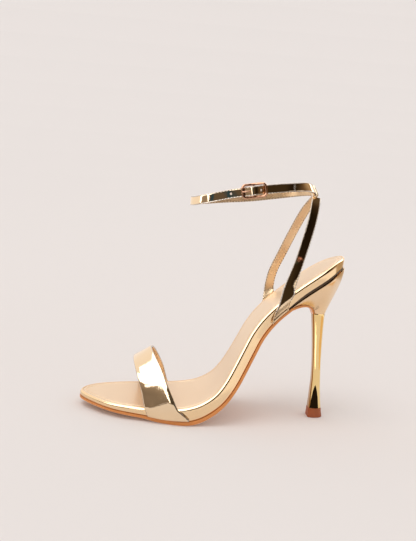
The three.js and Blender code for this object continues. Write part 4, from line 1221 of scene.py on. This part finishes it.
# small cards that only reflections see: corners on the floor in metres and tone, and a low dark flag round
# the heel's foot, as turn in degrees and height in millimetres
cards = {
    "tan": [(0.27, -0.16), (0.49, -0.20), (0.49, 0.10), (0.27, 0.05)], "tanTone": (0.80, 0.56, 0.34),
    "white": [(0.035, -0.16), (0.092, -0.16), (0.08, -0.22), (0.028, -0.22)], "whiteTone": (2.4, 2.3, 2.2),
    "flag": [(-75, 0.5), (-60, 3), (-45, 8), (-30, 13), (-15, 18), (0, 21), (15, 22), (30, 20), (45, 17),
             (60, 13), (66, 0.5)],
    "flagRadius": 22, "flagTone": (0.015, 0.010, 0.008), "height": 0.0006,
}


def makeCards():
    for name in ("tan", "white"):
        addStage(name + "Card", [(x, y, cards["height"]) for x, y in cards[name]], [(0, 1, 2, 3)],
                 makeGlow(name + "Card", cards[name + "Tone"]))
    points = [toRow(np.array([stemAxis, 0, z]) + cards["flagRadius"] * towards(turn, 0))
              for turn, high in cards["flag"] for z in (0, high)]
    faces = [(2 * k, 2 * k + 2, 2 * k + 3, 2 * k + 1) for k in range(len(cards["flag"]) - 1)]
    addStage("darkFlag", points, faces, makeGlow("darkFlag", cards["flagTone"]))


def makeLights():
    data = bpy.data.lights.new("softSun", "SUN")
    data.energy = sun["strength"]
    data.color = sun["tone"]
    data.angle = math.radians(sun["spread"])
    obj = bpy.data.objects.new("softSun", data)
    bpy.context.scene.collection.objects.link(obj)
    obj.rotation_euler = Vector(sun["towards"]).to_track_quat("Z", "Y").to_euler()
    obj.visible_glossy = False
    world = bpy.data.worlds.new("studio")
    world.use_nodes = True
    back = world.node_tree.nodes["Background"]
    back.inputs["Color"].default_value = (*sky["tone"], 1)
    back.inputs["Strength"].default_value = sky["strength"]
    bpy.context.scene.world = world
    bpy.context.scene.view_settings.view_transform = "Standard"


# angles in degrees, lengths in millimetres, and the lens from the photograph's height in pixels
view = {
    "turn": 3.40, "elevation": 6.37, "roll": 4.16, "distance": 515.0, "scale": 1.3020, "aside": -7.79,
    "above": 47.98, "centre": (100, 0, 60.55), "sensor": 36, "pixels": 541,
}


def makeCamera():
    turn, tilt, roll = (math.radians(view[k]) for k in ("turn", "elevation", "roll"))
    d = np.array([math.sin(turn) * math.cos(tilt), math.cos(turn) * math.cos(tilt), -math.sin(tilt)])
    right = np.array([math.cos(turn), -math.sin(turn), 0])
    up = np.cross(right, d)
    where = np.array(view["centre"]) + view["aside"] * right + view["above"] * up - view["distance"] * d
    x = right * math.cos(roll) + up * math.sin(roll)
    y = up * math.cos(roll) - right * math.sin(roll)
    data = bpy.data.cameras.new("camera")
    data.sensor_width = view["sensor"]
    data.lens = view["sensor"] * view["distance"] * view["scale"] / view["pixels"]
    data.clip_start = 0.01
    obj = bpy.data.objects.new("camera", data)
    bpy.context.scene.collection.objects.link(obj)
    turned = Matrix((tuple(x), tuple(y), tuple(-d))).transposed().to_4x4()
    turned.translation = tuple(toRow(where))
    obj.matrix_world = turned
    bpy.context.scene.camera = obj


makeFloor()
makeRoom()
makeCards()
makeLights()
makeCamera()
print("stage done")
